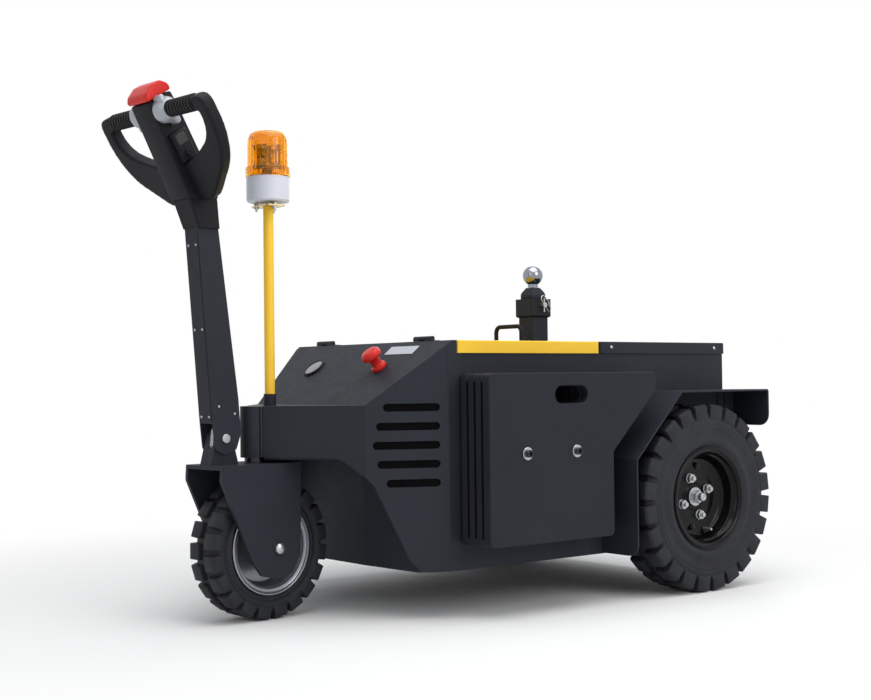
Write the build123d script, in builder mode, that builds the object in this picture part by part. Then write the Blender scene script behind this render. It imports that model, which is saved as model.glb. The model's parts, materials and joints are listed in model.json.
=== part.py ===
"""Pedestrian electric tow tractor with a tiller, one steered front wheel and ballast plates."""
import os
from math import cos, hypot, pi, radians, sin

from build123d import *

os.makedirs("parts", exist_ok=True)

# Frame: millimetres, +X towards the tiller, +Y to the machine's left, +Z up, floor at z = 0.
# Stations along the machine, from the rear axle
rear_axle_x = -497.5
body_rear = rear_axle_x - 177.0
lid_split = rear_axle_x + 232.0
lid_front = rear_axle_x + 632.0
body_front = rear_axle_x + 654.0
hood_bend = rear_axle_x + 645.0
shoulder_x = rear_axle_x + 804.0
front_wall_x = rear_axle_x + 722.0
steer_x = rear_axle_x + 935.0
hitch_x = rear_axle_x + 170.0
beacon_x = rear_axle_x + 897.0

# Body of folded sheet
sheet = 4.0
body_half = 279.0
body_bottom = 95.0
body_top = 529.0
lid_top = 555.0
rim_flange = 24.0
seam = 0.3
lid_overhang = 3.0
lid_gap = 1.5

# Console, neck and louvres
shoulder_half = 202.0
neck_top = 427.0
neck_bottom = 324.0
neck_half = 34.0
louvre_pitch = 37.4
louvre_height = 15.5
louvre_top_z = 421.8
louvre_rear_gap = 18.0
louvre_front_gaps = (36.0, 22.0, 15.0, 24.0, 42.0)
stop_at = (rear_axle_x + 712.0, 127.0)
stop_stem_r = 11.0
gauge_at = (rear_axle_x + 710.0, -118.0)
gauge_r = 26.0
wall_fold_half = 80.0
wall_sweep = 12.0
wall_tuck = 6.0
arch_low_x = rear_axle_x + 725.0
arch_low_z = 119.0
arch_high_x = rear_axle_x + 789.0
arch_high_z = 269.0
arch_flat_x = rear_axle_x + 838.0

# Head tube and steering shaft
head_tube_r = 28.0
head_tube_bore = 20.0
shaft_clear = 0.05
washer_gap = 0.3

# Steering group, measured in its own frame: forward of the steering axis, left of it, up
steer_angle = 5.8
trail = -12.0
front_tyre_r = 144.0
front_tyre_half = 43.0
front_rim_half = 40.0
front_rim_r = 95.0
front_bead_r = 83.0
front_lugs = 20
front_groove = 9.0
front_hub_half = 50.0
front_hub_r = 22.0
fork_inner = 54.0
fork_sheet = 8.0
fork_top = 313.0
fork_front = 122.0
fork_rear = -71.0
front_axle_r = 8.0

# Tiller
arm_front_low = (116.0, 395.0)
arm_front_high = (147.6, 777.0)
arm_rear_high = (99.5, 777.0)
arm_rear_low = (54.0, 440.0)
arm_heel = ((49.0, 374.0), (60.0, 342.0), (87.0, 333.0), (110.0, 343.0))
pivot_x = 86.0
pivot_z = 365.0
pivot_r = 8.0
arm_half = 22.5
arm_sheet = 3.0
pivot_head_r = 12.0
pivot_head_t = 5.0
bracket_half = 18.0
head_half = 27.0
collar_half = 28.5
loop_foot = (131.0, 828.0)
loop_top = (230.0, 993.0)
loop_t = 24.0
loop_edge_r = 8.0
grip_start = 58.0
grip_len = 84.0
grip_r = 16.5
grip_rib = 2.0
grip_ribs = 9
throttle_wing = 33.0
throttle_w = 28.0
button_half = 28.0

# Rear wheels
rear_tyre_r = 208.0
rear_tyre_half = 50.0
tyre_gap = 9.0
rear_track_half = body_half + tyre_gap + rear_tyre_half
rear_rim_half = 48.0
rear_rim_r = 113.0
rear_bead_r = 100.0
rear_lugs = 24
rear_groove = 12.0
rim_t = 4.0
disc_t = 6.0
disc_in = 2.0
lug_share = 0.72
axle_r = 15.0
hub_r = 30.0
hub_flange_r = 58.0
hub_flange_t = 8.0
hub_in = 42.0
hub_out = 12.0
stud_circle_r = 44.0
stud_r = 5.0
stud_len = 16.0

# Fenders
fender_sheet = 4.0
fender_outer = rear_track_half + 47.0
fender_front_gap = 23.0
fender_top_gap = 30.0
fender_front = rear_axle_x + rear_tyre_r + fender_front_gap
fender_diag_z = rear_tyre_r + 94.0
fender_top_x = rear_axle_x + 86.0
fender_top_z = 2 * rear_tyre_r + fender_top_gap
fender_rear = rear_axle_x - rear_tyre_r - 3.0
fender_flap_z = fender_top_z - 84.0
fender_low = 97.0
fender_bend_r = 6.0
fender_corner_r = 26.0

# Ballast plates
plate_count = 4
plate_t = 22.0
plate_front = rear_axle_x + 629.0
plate_top = 488.0
plate_bottom = 146.0
plate_notch_x = fender_front + 56.0
plate_notch_high = plate_top - 39.0
plate_notch_low = fender_diag_z + 20.0
plate_rear = plate_notch_x - (plate_notch_high - plate_notch_low) * 132 / 127
plate_slot_x = rear_axle_x + 407.0
plate_slot_z = 443.0
plate_slot_l = 92.0
plate_slot_h = 36.0
plate_bolts_x = (rear_axle_x + 531.0, rear_axle_x + 395.0)
plate_bolt_z = 327.0
bolt_r = 6.0
bolt_proud = 18.0
washer_r = 13.0
washer_t = 3.0
nut_r = 10.5
nut_t = 9.0
plate_corner_r = 12.0
plate_edge = 1.5
plate_stand_off = 6.0

# Hitch
post_w = 50.0
sleeve_w = 61.0
sleeve_low = 620.0
sleeve_top = 663.0
tube_w = 40.0
tube_top = 675.0
ball_r = 23.8
ball_z = 719.0
ball_neck_r = 12.0

post_wall = 5.0
pin_r = 6.0
pin_z = 648.0
pin_proud = 12.0

# Controls
panel_at = (190.0, 930.0)
panel_w = 34.0
panel_h = 46.0
panel_t = 4.0
stop_collar_r = 16.0
stop_collar_high = 8.0
stop_neck_high = 29.0
stop_head_r = 21.0
stop_head_high = 16.0

# Beacon
socket_r = 12.8
socket_top = 451.0
pole_r = 10.5
pole_top = 832.0
bracket_plate_t = 3.0
bracket_plate_l = 66.0
bracket_plate_w = 44.0
stand_off_r = 3.0
stand_off_circle_r = 24.0
base_r = 44.0
base_low = 842.0
base_top = 893.0
dome_r = 42.0
dome_top = 987.0
ring_top = 912.0
ring_r = 46.0
dome_wall = 2.5
lamp_r = 14.0
lamp_top = 952.0

# Lids, hinges and handle
lid_sheet = 3.0
lid_corner_r = 6.0
lid_edge_r = 2.5
hinge_x = lid_front + 6.0
hinge_y = 180.0
hinge_len = 60.0
hinge_r = 5.0
hinge_pin_r = 2.5
hinge_leaf = 28.0
hinge_leaf_t = 2.5
handle_x = lid_split + 16.0
handle_half = 44.0
handle_high = 42.0
handle_bend = 14.0
handle_r = 5.0

# Rear axle
axle_tube_r = 40.0
axle_tube_end = body_half + 13.0
axle_flange_half = 58.0
axle_flange_t = 8.0
drive_case_r = 80.0
drive_case_half = 90.0
hub_nut_y = rear_track_half + hub_out + 2.0
hub_nut_t = 12.0
hub_nut_r = 22.0

# Battery
battery_len = 340.0
battery_half = 200.0
battery_high = 250.0


def side(y):
    """Plane seen from the machine's left-right axis, its normal to the right."""
    return Plane(origin=(0, y, 0), x_dir=(1, 0, 0), z_dir=(0, -1, 0))


turn = radians(steer_angle)
fwd = Vector(cos(turn), sin(turn), 0)
left = Vector(-sin(turn), cos(turn), 0)
steer_origin = Vector(steer_x, 0, 0)


def steer_side(y, x=0.0, z=0.0):
    """Side view plane of the steering group, y to its left, its normal to the right."""
    return Plane(origin=steer_origin + fwd * x + left * y + Vector(0, 0, z), x_dir=fwd, z_dir=-left)


def steer_flat(z, x=0.0, y=0.0):
    """Level plane of the steering group."""
    return Plane(origin=steer_origin + fwd * x + left * y + Vector(0, 0, z), x_dir=fwd, z_dir=(0, 0, 1))


def hood_plane(x, y, above=0.0):
    """Plane on the sloped hood at station x and y, its normal out of the hood."""
    slope = (lid_top - neck_top) / (shoulder_x - hood_bend)
    z = lid_top - (x - hood_bend) * slope
    normal = Vector(slope, 0, 1).normalized()
    return Plane(origin=Vector(x, y, z) + normal * above, x_dir=(0, 1, 0), z_dir=normal)


louvre_run = Vector(shoulder_x - body_front, shoulder_half - body_half, 0).normalized()
louvre_len = hypot(shoulder_x - body_front, shoulder_half - body_half)


# Body tub: floor, sides and rear wall of one folded sheet, with a flange that the lids rest on
with BuildPart() as body_tub:
    with BuildSketch(Plane.XY.offset(body_bottom)):
        with Locations(((body_rear + body_front) / 2, 0)):
            Rectangle(body_front - body_rear, 2 * body_half)
    extrude(amount=body_top - body_bottom)
    with BuildSketch(Plane.XY.offset(body_bottom + sheet)):
        with Locations(((body_rear + sheet + body_front) / 2, 0)):
            Rectangle(body_front - body_rear - sheet, 2 * (body_half - sheet))
    extrude(amount=body_top - body_bottom - 2 * sheet, mode=Mode.SUBTRACT)
    with BuildSketch(Plane.XY.offset(body_top - sheet)):
        with Locations(((body_rear + rim_flange + lid_front) / 2, 0)):
            Rectangle(lid_front - body_rear - rim_flange, 2 * (body_half - rim_flange))
    extrude(amount=sheet, mode=Mode.SUBTRACT)
    with BuildSketch(Plane.XZ):
        with Locations((rear_axle_x, rear_tyre_r)):
            Circle(46.0 + seam)
    extrude(amount=body_half, both=True, mode=Mode.SUBTRACT)
    with BuildSketch(Plane.XZ):
        with Locations(*[(x, plate_bolt_z) for x in plate_bolts_x]):
            Circle(bolt_r + seam)
    extrude(amount=body_half, both=True, mode=Mode.SUBTRACT)
    for y in (-body_half, body_half):
        corner = body_tub.edges().filter_by(Axis.Z).group_by(Axis.X)[0].sort_by(Axis.Y)[0 if y < 0 else -1]
        fillet(corner, sheet)
body_tub.part.label = "body_tub"
export_step(body_tub.part, "parts/body_tub.step")


def console_plan(past=0.0):
    """Half-symmetric plan of the console: parallel strip, tapering louvre panels, neck."""
    near = [
        (lid_front - past, body_half),
        (body_front, body_half),
        (shoulder_x, shoulder_half),
        (steer_x, neck_half),
    ]
    return near + [(x, -y) for x, y in reversed(near)]


def console_side(past=0.0):
    """Side view of the console down to the neck: lid strip, hood slope and neck top."""
    return [
        (lid_front - past, lid_top),
        (hood_bend, lid_top),
        (shoulder_x, neck_top),
        (steer_x + past, neck_top),
        (steer_x + past, body_bottom - past),
        (lid_front - past, body_bottom - past),
    ]


# Console: louvre panels, sloped hood and neck plates, bent from one sheet and open below
with BuildPart() as console:
    with BuildSketch(Plane.XY.offset(body_bottom)):
        with BuildLine():
            Polyline(*console_plan(), close=True)
        make_face()
    extrude(amount=lid_top - body_bottom)
    with BuildSketch(Plane.XZ):
        with BuildLine():
            Polyline(
                (lid_front, lid_top),
                (hood_bend, lid_top),
                (shoulder_x, neck_top),
                (steer_x, neck_top),
                (steer_x, neck_bottom),
                (arch_flat_x, neck_bottom),
                (arch_high_x, arch_high_z),
                (arch_low_x, arch_low_z),
                (arch_low_x - 22.0, body_bottom),
                (body_front, body_bottom),
                (body_front, body_top),
                (lid_front, body_top),
                close=True,
            )
        make_face()
        arch = [v for v in vertices() if abs(v.X - arch_flat_x) < 1 or abs(v.X - arch_high_x) < 1]
        fillet(arch, 26.0)
        foot = [v for v in vertices() if abs(v.X - arch_low_x) < 23 and v.Y < arch_low_z + 1]
        fillet(foot, 12.0)
    extrude(amount=body_half, both=True, mode=Mode.INTERSECT)
    with BuildSketch(Plane.XY.offset(body_bottom)):
        with BuildLine():
            Polyline(*console_plan(2 * sheet), close=True)
        make_face()
        offset(amount=-sheet, kind=Kind.INTERSECTION, mode=Mode.REPLACE)
    inside = extrude(amount=lid_top - body_bottom, mode=Mode.PRIVATE)
    with BuildSketch(Plane.XZ):
        with BuildLine():
            Polyline(*console_side(2 * sheet), close=True)
        make_face()
        offset(amount=-sheet, kind=Kind.INTERSECTION, mode=Mode.REPLACE)
    under = extrude(amount=body_half, both=True, mode=Mode.PRIVATE)
    add(inside & under, mode=Mode.SUBTRACT)
    # five louvre slots a side, each (left end gap from the shoulder fold, centre height)
    for side_sign in (1, -1):
        panel = Plane(
            origin=(body_front, side_sign * body_half, 0),
            x_dir=(louvre_run.X, side_sign * louvre_run.Y, 0),
            z_dir=(-louvre_run.Y, side_sign * louvre_run.X, 0),
        )
        for row, front_gap in enumerate(louvre_front_gaps):
            slot_l = louvre_len - front_gap - louvre_rear_gap
            level = louvre_top_z - row * louvre_pitch
            up = level if side_sign < 0 else -level
            with BuildSketch(panel):
                with Locations((louvre_rear_gap + slot_l / 2, up)):
                    SlotOverall(slot_l, louvre_height)
            extrude(amount=3 * sheet, both=True, mode=Mode.SUBTRACT)
    # holes for the stop button and the gauge in the hood, and for the beacon pole's socket
    with BuildSketch(hood_plane(*stop_at)):
        Circle(stop_stem_r + seam)
    extrude(amount=3 * sheet, both=True, mode=Mode.SUBTRACT)
    with BuildSketch(hood_plane(*gauge_at)):
        Circle(gauge_r - 3.0)
    extrude(amount=3 * sheet, both=True, mode=Mode.SUBTRACT)
    with BuildSketch(Plane.XY.offset(neck_top)):
        with Locations((steer_x, 0)):
            Circle(head_tube_r)
    extrude(amount=-(neck_top - body_bottom), mode=Mode.SUBTRACT)
    with BuildSketch(Plane.XY.offset(neck_top)):
        with Locations((steer_x + body_half, 0)):
            Rectangle(2 * body_half, 2 * body_half)
    extrude(amount=-(neck_top - body_bottom), mode=Mode.SUBTRACT)
console.part.label = "console"
export_step(console.part, "parts/console.step")

# Front wall behind the wheel, bent along two upright folds, with a floor below and the neck's floor above
with BuildPart() as front_wall:
    wall_half = shoulder_half + (body_half - shoulder_half) * (shoulder_x - front_wall_x) / (shoulder_x - body_front)
    with BuildSketch(Plane.XY.offset(body_bottom)):
        with BuildLine():
            outline = [
                (front_wall_x - wall_sweep, wall_half + wall_tuck),
                (front_wall_x, wall_fold_half),
                (front_wall_x, -wall_fold_half),
                (front_wall_x - wall_sweep, -wall_half - wall_tuck),
            ]
            Polyline(*outline, *[(x - sheet, y) for x, y in reversed(outline)], close=True)
        make_face()
    extrude(amount=neck_bottom - body_bottom)
    with BuildSketch(Plane.XY.offset(body_bottom)):
        with BuildLine():
            Polyline((body_front + seam, body_half), *outline, (body_front + seam, -body_half), close=True)
        make_face()
    extrude(amount=sheet)
    with BuildSketch(Plane.XY.offset(neck_bottom - sheet)):
        with BuildLine():
            Polyline(*console_plan(), close=True)
        make_face()
    extrude(amount=2 * sheet)
    with BuildSketch(Plane.XY.offset(neck_bottom + sheet)):
        with Locations((lid_front, 0)):
            Rectangle(2 * (front_wall_x - sheet - lid_front), 2 * body_half)
        with Locations((steer_x, 0)):
            Circle(head_tube_r)
        with Locations((steer_x + body_half, 0)):
            Rectangle(2 * body_half, 2 * body_half)
    extrude(amount=-2 * sheet, mode=Mode.SUBTRACT)
    with BuildSketch(Plane.XY.offset(body_bottom)):
        with BuildLine():
            Polyline(*console_plan(2 * sheet), close=True)
        make_face()
        offset(amount=-sheet - seam, kind=Kind.INTERSECTION, mode=Mode.REPLACE)
    extrude(amount=lid_top - body_bottom, mode=Mode.INTERSECT)
front_wall.part.label = "front_wall"
export_step(front_wall.part, "parts/front_wall.step")


# Head tube with its bore for the steering shaft
with BuildPart() as head_tube:
    with BuildSketch(Plane.XY.offset(neck_bottom)):
        with Locations((steer_x, 0)):
            Circle(head_tube_r - seam / 2)
            Circle(head_tube_bore, mode=Mode.SUBTRACT)
    extrude(amount=neck_top - neck_bottom)
head_tube.part.label = "head_tube"
export_step(head_tube.part, "parts/head_tube.step")

# Lids: a folded tray upside down, with a skirt round the body's top edge
lid_half = body_half + lid_overhang
for lid_name, low_x, high_x in (
    ("front_lid", lid_split + lid_gap, lid_front - lid_gap),
    ("rear_cover", body_rear - lid_overhang, lid_split - lid_gap),
):
    with BuildPart() as lid:
        with BuildSketch(Plane.XY.offset(body_top + seam)):
            with Locations(((low_x + high_x) / 2, 0)):
                Rectangle(high_x - low_x, 2 * lid_half)
        extrude(amount=lid_top - body_top - seam)
        ends = lid.edges().filter_by(Axis.Z)
        fillet(ends, lid_corner_r)
        fillet(lid.faces().sort_by(Axis.Z)[-1].edges(), lid_edge_r)
        with BuildSketch(Plane.XY.offset(body_top + seam)):
            with Locations(((low_x + high_x) / 2, 0)):
                Rectangle(high_x - low_x - 2 * lid_sheet, 2 * (lid_half - lid_sheet))
        extrude(amount=lid_top - body_top - seam - lid_sheet, mode=Mode.SUBTRACT)
        if lid_name == "rear_cover":
            with BuildSketch(Plane.XY.offset(body_top)):
                with Locations((hitch_x, 0)):
                    Rectangle(post_w + 2 * lid_gap, post_w + 2 * lid_gap)
            extrude(amount=lid_top, mode=Mode.SUBTRACT)
    lid.part.label = lid_name
    export_step(lid.part, f"parts/{lid_name}.step")

# Lid hinges: knuckles on the hood's top edge and on the lid, and the pins through them
hinge_z = lid_top + hinge_r + seam
with BuildPart() as hinge_bases:
    for y in (-hinge_y, hinge_y):
        with BuildSketch(side(y + hinge_len / 2)):
            with Locations((hinge_x, hinge_z)):
                Circle(hinge_r)
            with BuildLine():
                Polyline(
                    (hinge_x, lid_top + seam),
                    (hinge_x + hinge_r, lid_top + seam),
                    (hinge_x + hinge_r, hinge_z),
                    (hinge_x, hinge_z),
                    close=True,
                )
            make_face()
        extrude(amount=hinge_len / 3 - seam)
        with BuildSketch(side(y - hinge_len / 6 - seam)):
            with Locations((hinge_x, hinge_z)):
                Circle(hinge_r)
            with BuildLine():
                Polyline(
                    (hinge_x, lid_top + seam),
                    (hinge_x + hinge_r, lid_top + seam),
                    (hinge_x + hinge_r, hinge_z),
                    (hinge_x, hinge_z),
                    close=True,
                )
            make_face()
        extrude(amount=hinge_len / 3 - seam)
        with BuildSketch(side(y + hinge_len / 2)):
            with Locations((hinge_x, hinge_z)):
                Circle(hinge_pin_r)
        extrude(amount=hinge_len)
hinge_bases.part.label = "hinge_bases"
export_step(hinge_bases.part, "parts/hinge_bases.step")

with BuildPart() as hinge_leaves:
    for y in (-hinge_y, hinge_y):
        with BuildSketch(side(y + hinge_len / 6 - seam)):
            with Locations((hinge_x, hinge_z)):
                Circle(hinge_r)
            with BuildLine():
                Polyline(
                    (lid_front - lid_gap - hinge_leaf, lid_top + seam / 2),
                    (hinge_x, lid_top + seam / 2),
                    (hinge_x, lid_top + hinge_leaf_t),
                    (lid_front - lid_gap - hinge_leaf, lid_top + hinge_leaf_t),
                    close=True,
                )
            make_face()
            with Locations((hinge_x, hinge_z)):
                Circle(hinge_pin_r + shaft_clear, mode=Mode.SUBTRACT)
        extrude(amount=hinge_len / 3 - 2 * seam)
hinge_leaves.part.label = "hinge_leaves"
export_step(hinge_leaves.part, "parts/hinge_leaves.step")

# Handle: a round bar bent into a U at the lid's rear edge
with BuildPart() as lid_handle:
    handle_plane = Plane(origin=(handle_x, 0, lid_top + seam), x_dir=(0, 1, 0), z_dir=(1, 0, 0))
    with BuildLine(handle_plane):
        bar = FilletPolyline(
            (-handle_half, 0),
            (-handle_half, handle_high),
            (handle_half, handle_high),
            (handle_half, 0),
            radius=handle_bend,
        )
    with BuildSketch(Plane(origin=bar @ 0, z_dir=bar % 0)):
        Circle(handle_r)
    sweep()
lid_handle.part.label = "lid_handle"
export_step(lid_handle.part, "parts/lid_handle.step")

# Battery under the front lid: one plain block on the floor
with BuildPart() as battery:
    with BuildSketch(Plane.XY.offset(body_bottom + sheet)):
        with Locations(((lid_split + lid_front) / 2, 0)):
            Rectangle(battery_len, 2 * battery_half)
    extrude(amount=battery_high)
battery.part.label = "battery"
export_step(battery.part, "parts/battery.step")

# Rear axle: housing tube across the body, drive case, flanges and the shaft ends with their nuts
with BuildPart() as rear_axle:
    with BuildSketch(Plane.XZ):
        with Locations((rear_axle_x, rear_tyre_r)):
            Circle(axle_tube_r)
    extrude(amount=axle_tube_end, both=True)
    with BuildSketch(Plane.XZ):
        with Locations((rear_axle_x, rear_tyre_r)):
            Circle(drive_case_r)
    extrude(amount=drive_case_half, both=True)
    with BuildSketch(Plane.XZ):
        with Locations((rear_axle_x, rear_tyre_r)):
            Circle(axle_r)
    extrude(amount=hub_nut_y + hub_nut_t + 4, both=True)
    for start in (body_half + axle_flange_t + seam, -body_half - seam):
        with BuildSketch(side(start)):
            with Locations((rear_axle_x, rear_tyre_r)):
                Rectangle(2 * axle_flange_half, 2 * axle_flange_half)
        extrude(amount=axle_flange_t)
    for start in (hub_nut_y + hub_nut_t, -hub_nut_y):
        with BuildSketch(side(start)):
            with Locations((rear_axle_x, rear_tyre_r)):
                RegularPolygon(hub_nut_r, 6)
        extrude(amount=hub_nut_t)
rear_axle.part.label = "rear_axle"
export_step(rear_axle.part, "parts/rear_axle.step")

# Ballast plates: four steel plates a side with a hand slot, notched round the fender
notch = [
    (plate_front, plate_bottom),
    (plate_front, plate_top),
    (plate_rear, plate_top),
    (plate_rear, plate_notch_high),
    (plate_notch_x, plate_notch_low),
    (plate_notch_x, plate_bottom),
]
stack_start = body_half + plate_stand_off
stack_end = stack_start + plate_count * plate_t + (plate_count - 1) * seam
for side_name, sign in (("left", 1), ("right", -1)):
    with BuildPart() as plates:
        for k in range(plate_count):
            inner_y = stack_start + k * (plate_t + seam)
            with BuildSketch(side(inner_y + plate_t if sign > 0 else -inner_y)):
                with BuildLine():
                    Polyline(*notch, close=True)
                make_face()
                fillet(vertices(), plate_corner_r)
                with Locations((plate_slot_x, plate_slot_z)):
                    SlotOverall(plate_slot_l, plate_slot_h, mode=Mode.SUBTRACT)
                with Locations(*[(x, plate_bolt_z) for x in plate_bolts_x]):
                    Circle(bolt_r + seam, mode=Mode.SUBTRACT)
            extrude(amount=plate_t)
        rims = plates.edges().filter_by(lambda e: abs(e.tangent_at(0).Y) < 0.1)
        chamfer([e for e in rims if e.geom_type != GeomType.CIRCLE or e.radius > 10], plate_edge)
    plates.part.label = f"ballast_{side_name}"
    export_step(plates.part, f"parts/ballast_{side_name}.step")

    # Fender: one bent strip from the body's side outwards over the wheel
    bend = [
        (fender_front, fender_low),
        (fender_front, fender_diag_z),
        (fender_top_x, fender_top_z),
        (fender_rear, fender_top_z),
        (fender_rear, fender_flap_z),
    ]
    with BuildPart() as fender:
        with BuildSketch(side(fender_outer if sign > 0 else -body_half - seam)):
            with BuildLine():
                FilletPolyline(*bend, radius=fender_bend_r)
                offset(amount=fender_sheet, side=Side.LEFT)
            make_face()
        extrude(amount=fender_outer - body_half - seam)
        # inner cheek that closes the strip's rear end beside the body's rear corner
        cheek_y = body_half + seam
        with BuildSketch(side(cheek_y + fender_sheet if sign > 0 else -cheek_y)):
            with BuildLine():
                Polyline(
                    (body_rear + seam, fender_top_z),
                    (fender_rear, fender_top_z),
                    (fender_rear, fender_flap_z),
                    (body_rear + seam, fender_flap_z + 40.0),
                    close=True,
                )
            make_face()
        extrude(amount=fender_sheet)
        low_corner = [
            e for e in fender.edges().filter_by(Axis.X)
            if abs(abs(e.center().Y) - fender_outer) < 1 and e.center().Z < fender_top_z - fender_bend_r
        ]
        fillet(low_corner, fender_corner_r)
    fender.part.label = f"fender_{side_name}"
    export_step(fender.part, f"parts/fender_{side_name}.step")

# Bolts that hold the ballast plates: head inside the tub, spacer, washer and nut outside
with BuildPart() as ballast_bolts:
    for sign in (1, -1):
        for x in plate_bolts_x:
            for at, length, radius in (
                (body_half - sheet - seam, stack_end + bolt_proud - body_half + sheet + seam, bolt_r),
                (stack_end + seam, washer_t, washer_r),
                (body_half + seam, plate_stand_off - 2 * seam, washer_r),
            ):
                start = Plane(origin=(x, sign * at, plate_bolt_z), x_dir=(1, 0, 0), z_dir=(0, sign, 0))
                with BuildSketch(start):
                    Circle(radius)
                extrude(amount=length)
            for at, way in ((stack_end + seam + washer_t, 1), (body_half - sheet - seam, -1)):
                start = Plane(origin=(x, sign * at, plate_bolt_z), x_dir=(1, 0, 0), z_dir=(0, sign * way, 0))
                with BuildSketch(start):
                    RegularPolygon(nut_r, 6)
                extrude(amount=nut_t)
ballast_bolts.part.label = "ballast_bolts"
export_step(ballast_bolts.part, "parts/ballast_bolts.step")


def wheel_plane(centre, out):
    """Section plane of a wheel: x along the spin axis towards the outside, y up."""
    return Plane(origin=centre, x_dir=out, z_dir=out.cross(Vector(0, 0, 1)))


rear_left_centre = Vector(rear_axle_x, rear_track_half, rear_tyre_r)
rear_right_centre = Vector(rear_axle_x, -rear_track_half, rear_tyre_r)
front_centre = steer_origin + fwd * trail + Vector(0, 0, front_tyre_r)
outward = Vector(0, 1, 0)

# name, centre, way out, outer radius, half width, rim radius, bead radius, rim half width, lugs, groove
wheels = (
    ("rear_tyre_left", rear_left_centre, outward, rear_tyre_r, rear_tyre_half, rear_rim_r, rear_bead_r,
     rear_rim_half, rear_lugs, rear_groove),
    ("rear_tyre_right", rear_right_centre, -outward, rear_tyre_r, rear_tyre_half, rear_rim_r, rear_bead_r,
     rear_rim_half, rear_lugs, rear_groove),
    ("front_tyre", front_centre, left, front_tyre_r, front_tyre_half, front_rim_r, front_bead_r,
     front_rim_half, front_lugs, front_groove),
)
for name, centre, out, outer_r, half, rim_r, bead_r, rim_half, lugs, groove in wheels:
    spin = Axis(centre, out)
    pitch_w = 2 * pi * outer_r / lugs
    lug_half = lug_share * pitch_w / 2
    flat_r = (outer_r ** 2 - lug_half ** 2) ** 0.5
    with BuildPart() as tyre:
        with BuildSketch(wheel_plane(centre, out)):
            with BuildLine():
                near = [
                    (rim_half - rim_t - seam, bead_r + seam),
                    (rim_half - rim_t - seam, rim_r + 2.0),
                    (half, rim_r + 0.3 * (outer_r - rim_r)),
                    (half, outer_r - 2.2 * groove),
                    (0.8 * half, outer_r - groove),
                ]
                Polyline(*near, *[(-x, y) for x, y in reversed(near)], close=True)
            make_face()
        revolve(axis=spin)
        for way in (1, -1):
            with BuildSketch(wheel_plane(centre, out)):
                with BuildLine():
                    Polyline(
                        (way * half, outer_r - 2.6 * groove),
                        (way * half, flat_r - 0.4 * groove),
                        (way * 0.86 * half, flat_r),
                        (way * 0.28 * half, flat_r),
                        (way * 0.28 * half, outer_r - 1.5 * groove),
                        (way * 0.7 * half, outer_r - 2.6 * groove),
                        close=True,
                    )
                make_face()
            lug = extrude(amount=lug_half, both=True, mode=Mode.PRIVATE)
            for k in range(lugs):
                add(lug.rotate(spin, (k + (way + 1) / 4) * 360 / lugs))
    tyre.part.label = name
    export_step(tyre.part, f"parts/{name}.step")

# Rear rims: deep-dish steel wheels, their disc set back on the hub flange
for name, centre, out in (("left", rear_left_centre, outward), ("right", rear_right_centre, -outward)):
    spin = Axis(centre, out)
    with BuildPart() as rim:
        with BuildSketch(wheel_plane(centre, out)):
            with BuildLine():
                Polyline(
                    (rear_rim_half, rear_rim_r - 2),
                    (rear_rim_half - rim_t, rear_rim_r),
                    (rear_rim_half - rim_t, rear_bead_r),
                    (rim_t - rear_rim_half, rear_bead_r),
                    (rim_t - rear_rim_half, rear_rim_r),
                    (-rear_rim_half, rear_rim_r - 2),
                    (-rear_rim_half, rear_bead_r - rim_t),
                    (-disc_in - disc_t / 2, rear_bead_r - rim_t),
                    (-disc_in - disc_t / 2, hub_r + seam),
                    (-disc_in + disc_t / 2, hub_r + seam),
                    (-disc_in + disc_t / 2, 0.62 * rear_bead_r),
                    (disc_t + 4.0, 0.80 * rear_bead_r),
                    (disc_t + 10.0, rear_bead_r - rim_t),
                    (rear_rim_half, rear_bead_r - rim_t),
                    close=True,
                )
            make_face()
        revolve(axis=spin)
    rim.part.label = f"rear_rim_{name}"
    export_step(rim.part, f"parts/rear_rim_{name}.step")

    with BuildPart() as hub:
        disc_back = -disc_in - disc_t / 2 - seam
        with BuildSketch(wheel_plane(centre, out)):
            with BuildLine():
                Polyline(
                    (-hub_in, axle_r + shaft_clear),
                    (-hub_in, hub_r),
                    (disc_back - hub_flange_t, hub_r),
                    (disc_back - hub_flange_t, hub_flange_r),
                    (disc_back, hub_flange_r),
                    (disc_back, hub_r),
                    (hub_out, hub_r - 4),
                    (hub_out, axle_r + shaft_clear),
                    close=True,
                )
            make_face()
        revolve(axis=spin)
    hub.part.label = f"rear_hub_{name}"
    export_step(hub.part, f"parts/rear_hub_{name}.step")

    with BuildPart() as nuts:
        nut_face = Plane(origin=centre + out * (disc_t / 2 - disc_in + seam), x_dir=(0, 0, 1), z_dir=out)
        with BuildSketch(nut_face):
            with PolarLocations(stud_circle_r, 4, start_angle=20):
                RegularPolygon(nut_r, 6)
        extrude(amount=nut_t)
        with BuildSketch(nut_face):
            with PolarLocations(stud_circle_r, 4, start_angle=20):
                Circle(stud_r)
        extrude(amount=stud_len)
    nuts.part.label = f"wheel_nuts_{name}"
    export_step(nuts.part, f"parts/wheel_nuts_{name}.step")

# Front rim and hub: one cast wheel on a through axle
with BuildPart() as front_rim:
    front_spin = Axis(front_centre, left)
    with BuildSketch(wheel_plane(front_centre, left)):
        with BuildLine():
            near = [
                (front_hub_half, front_axle_r + shaft_clear),
                (front_hub_half, front_hub_r),
                (disc_t, front_hub_r + 6),
                (disc_t, front_bead_r - 24),
                (front_rim_half - 12, front_bead_r - rim_t - 4),
                (front_rim_half, front_bead_r - rim_t),
                (front_rim_half, front_rim_r - 1),
                (front_rim_half - rim_t, front_rim_r),
                (front_rim_half - rim_t, front_bead_r),
            ]
            Polyline(*near, *[(-x, y) for x, y in reversed(near)], close=True)
        make_face()
    revolve(axis=front_spin)
front_rim.part.label = "front_rim"
export_step(front_rim.part, "parts/front_rim.step")

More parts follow.
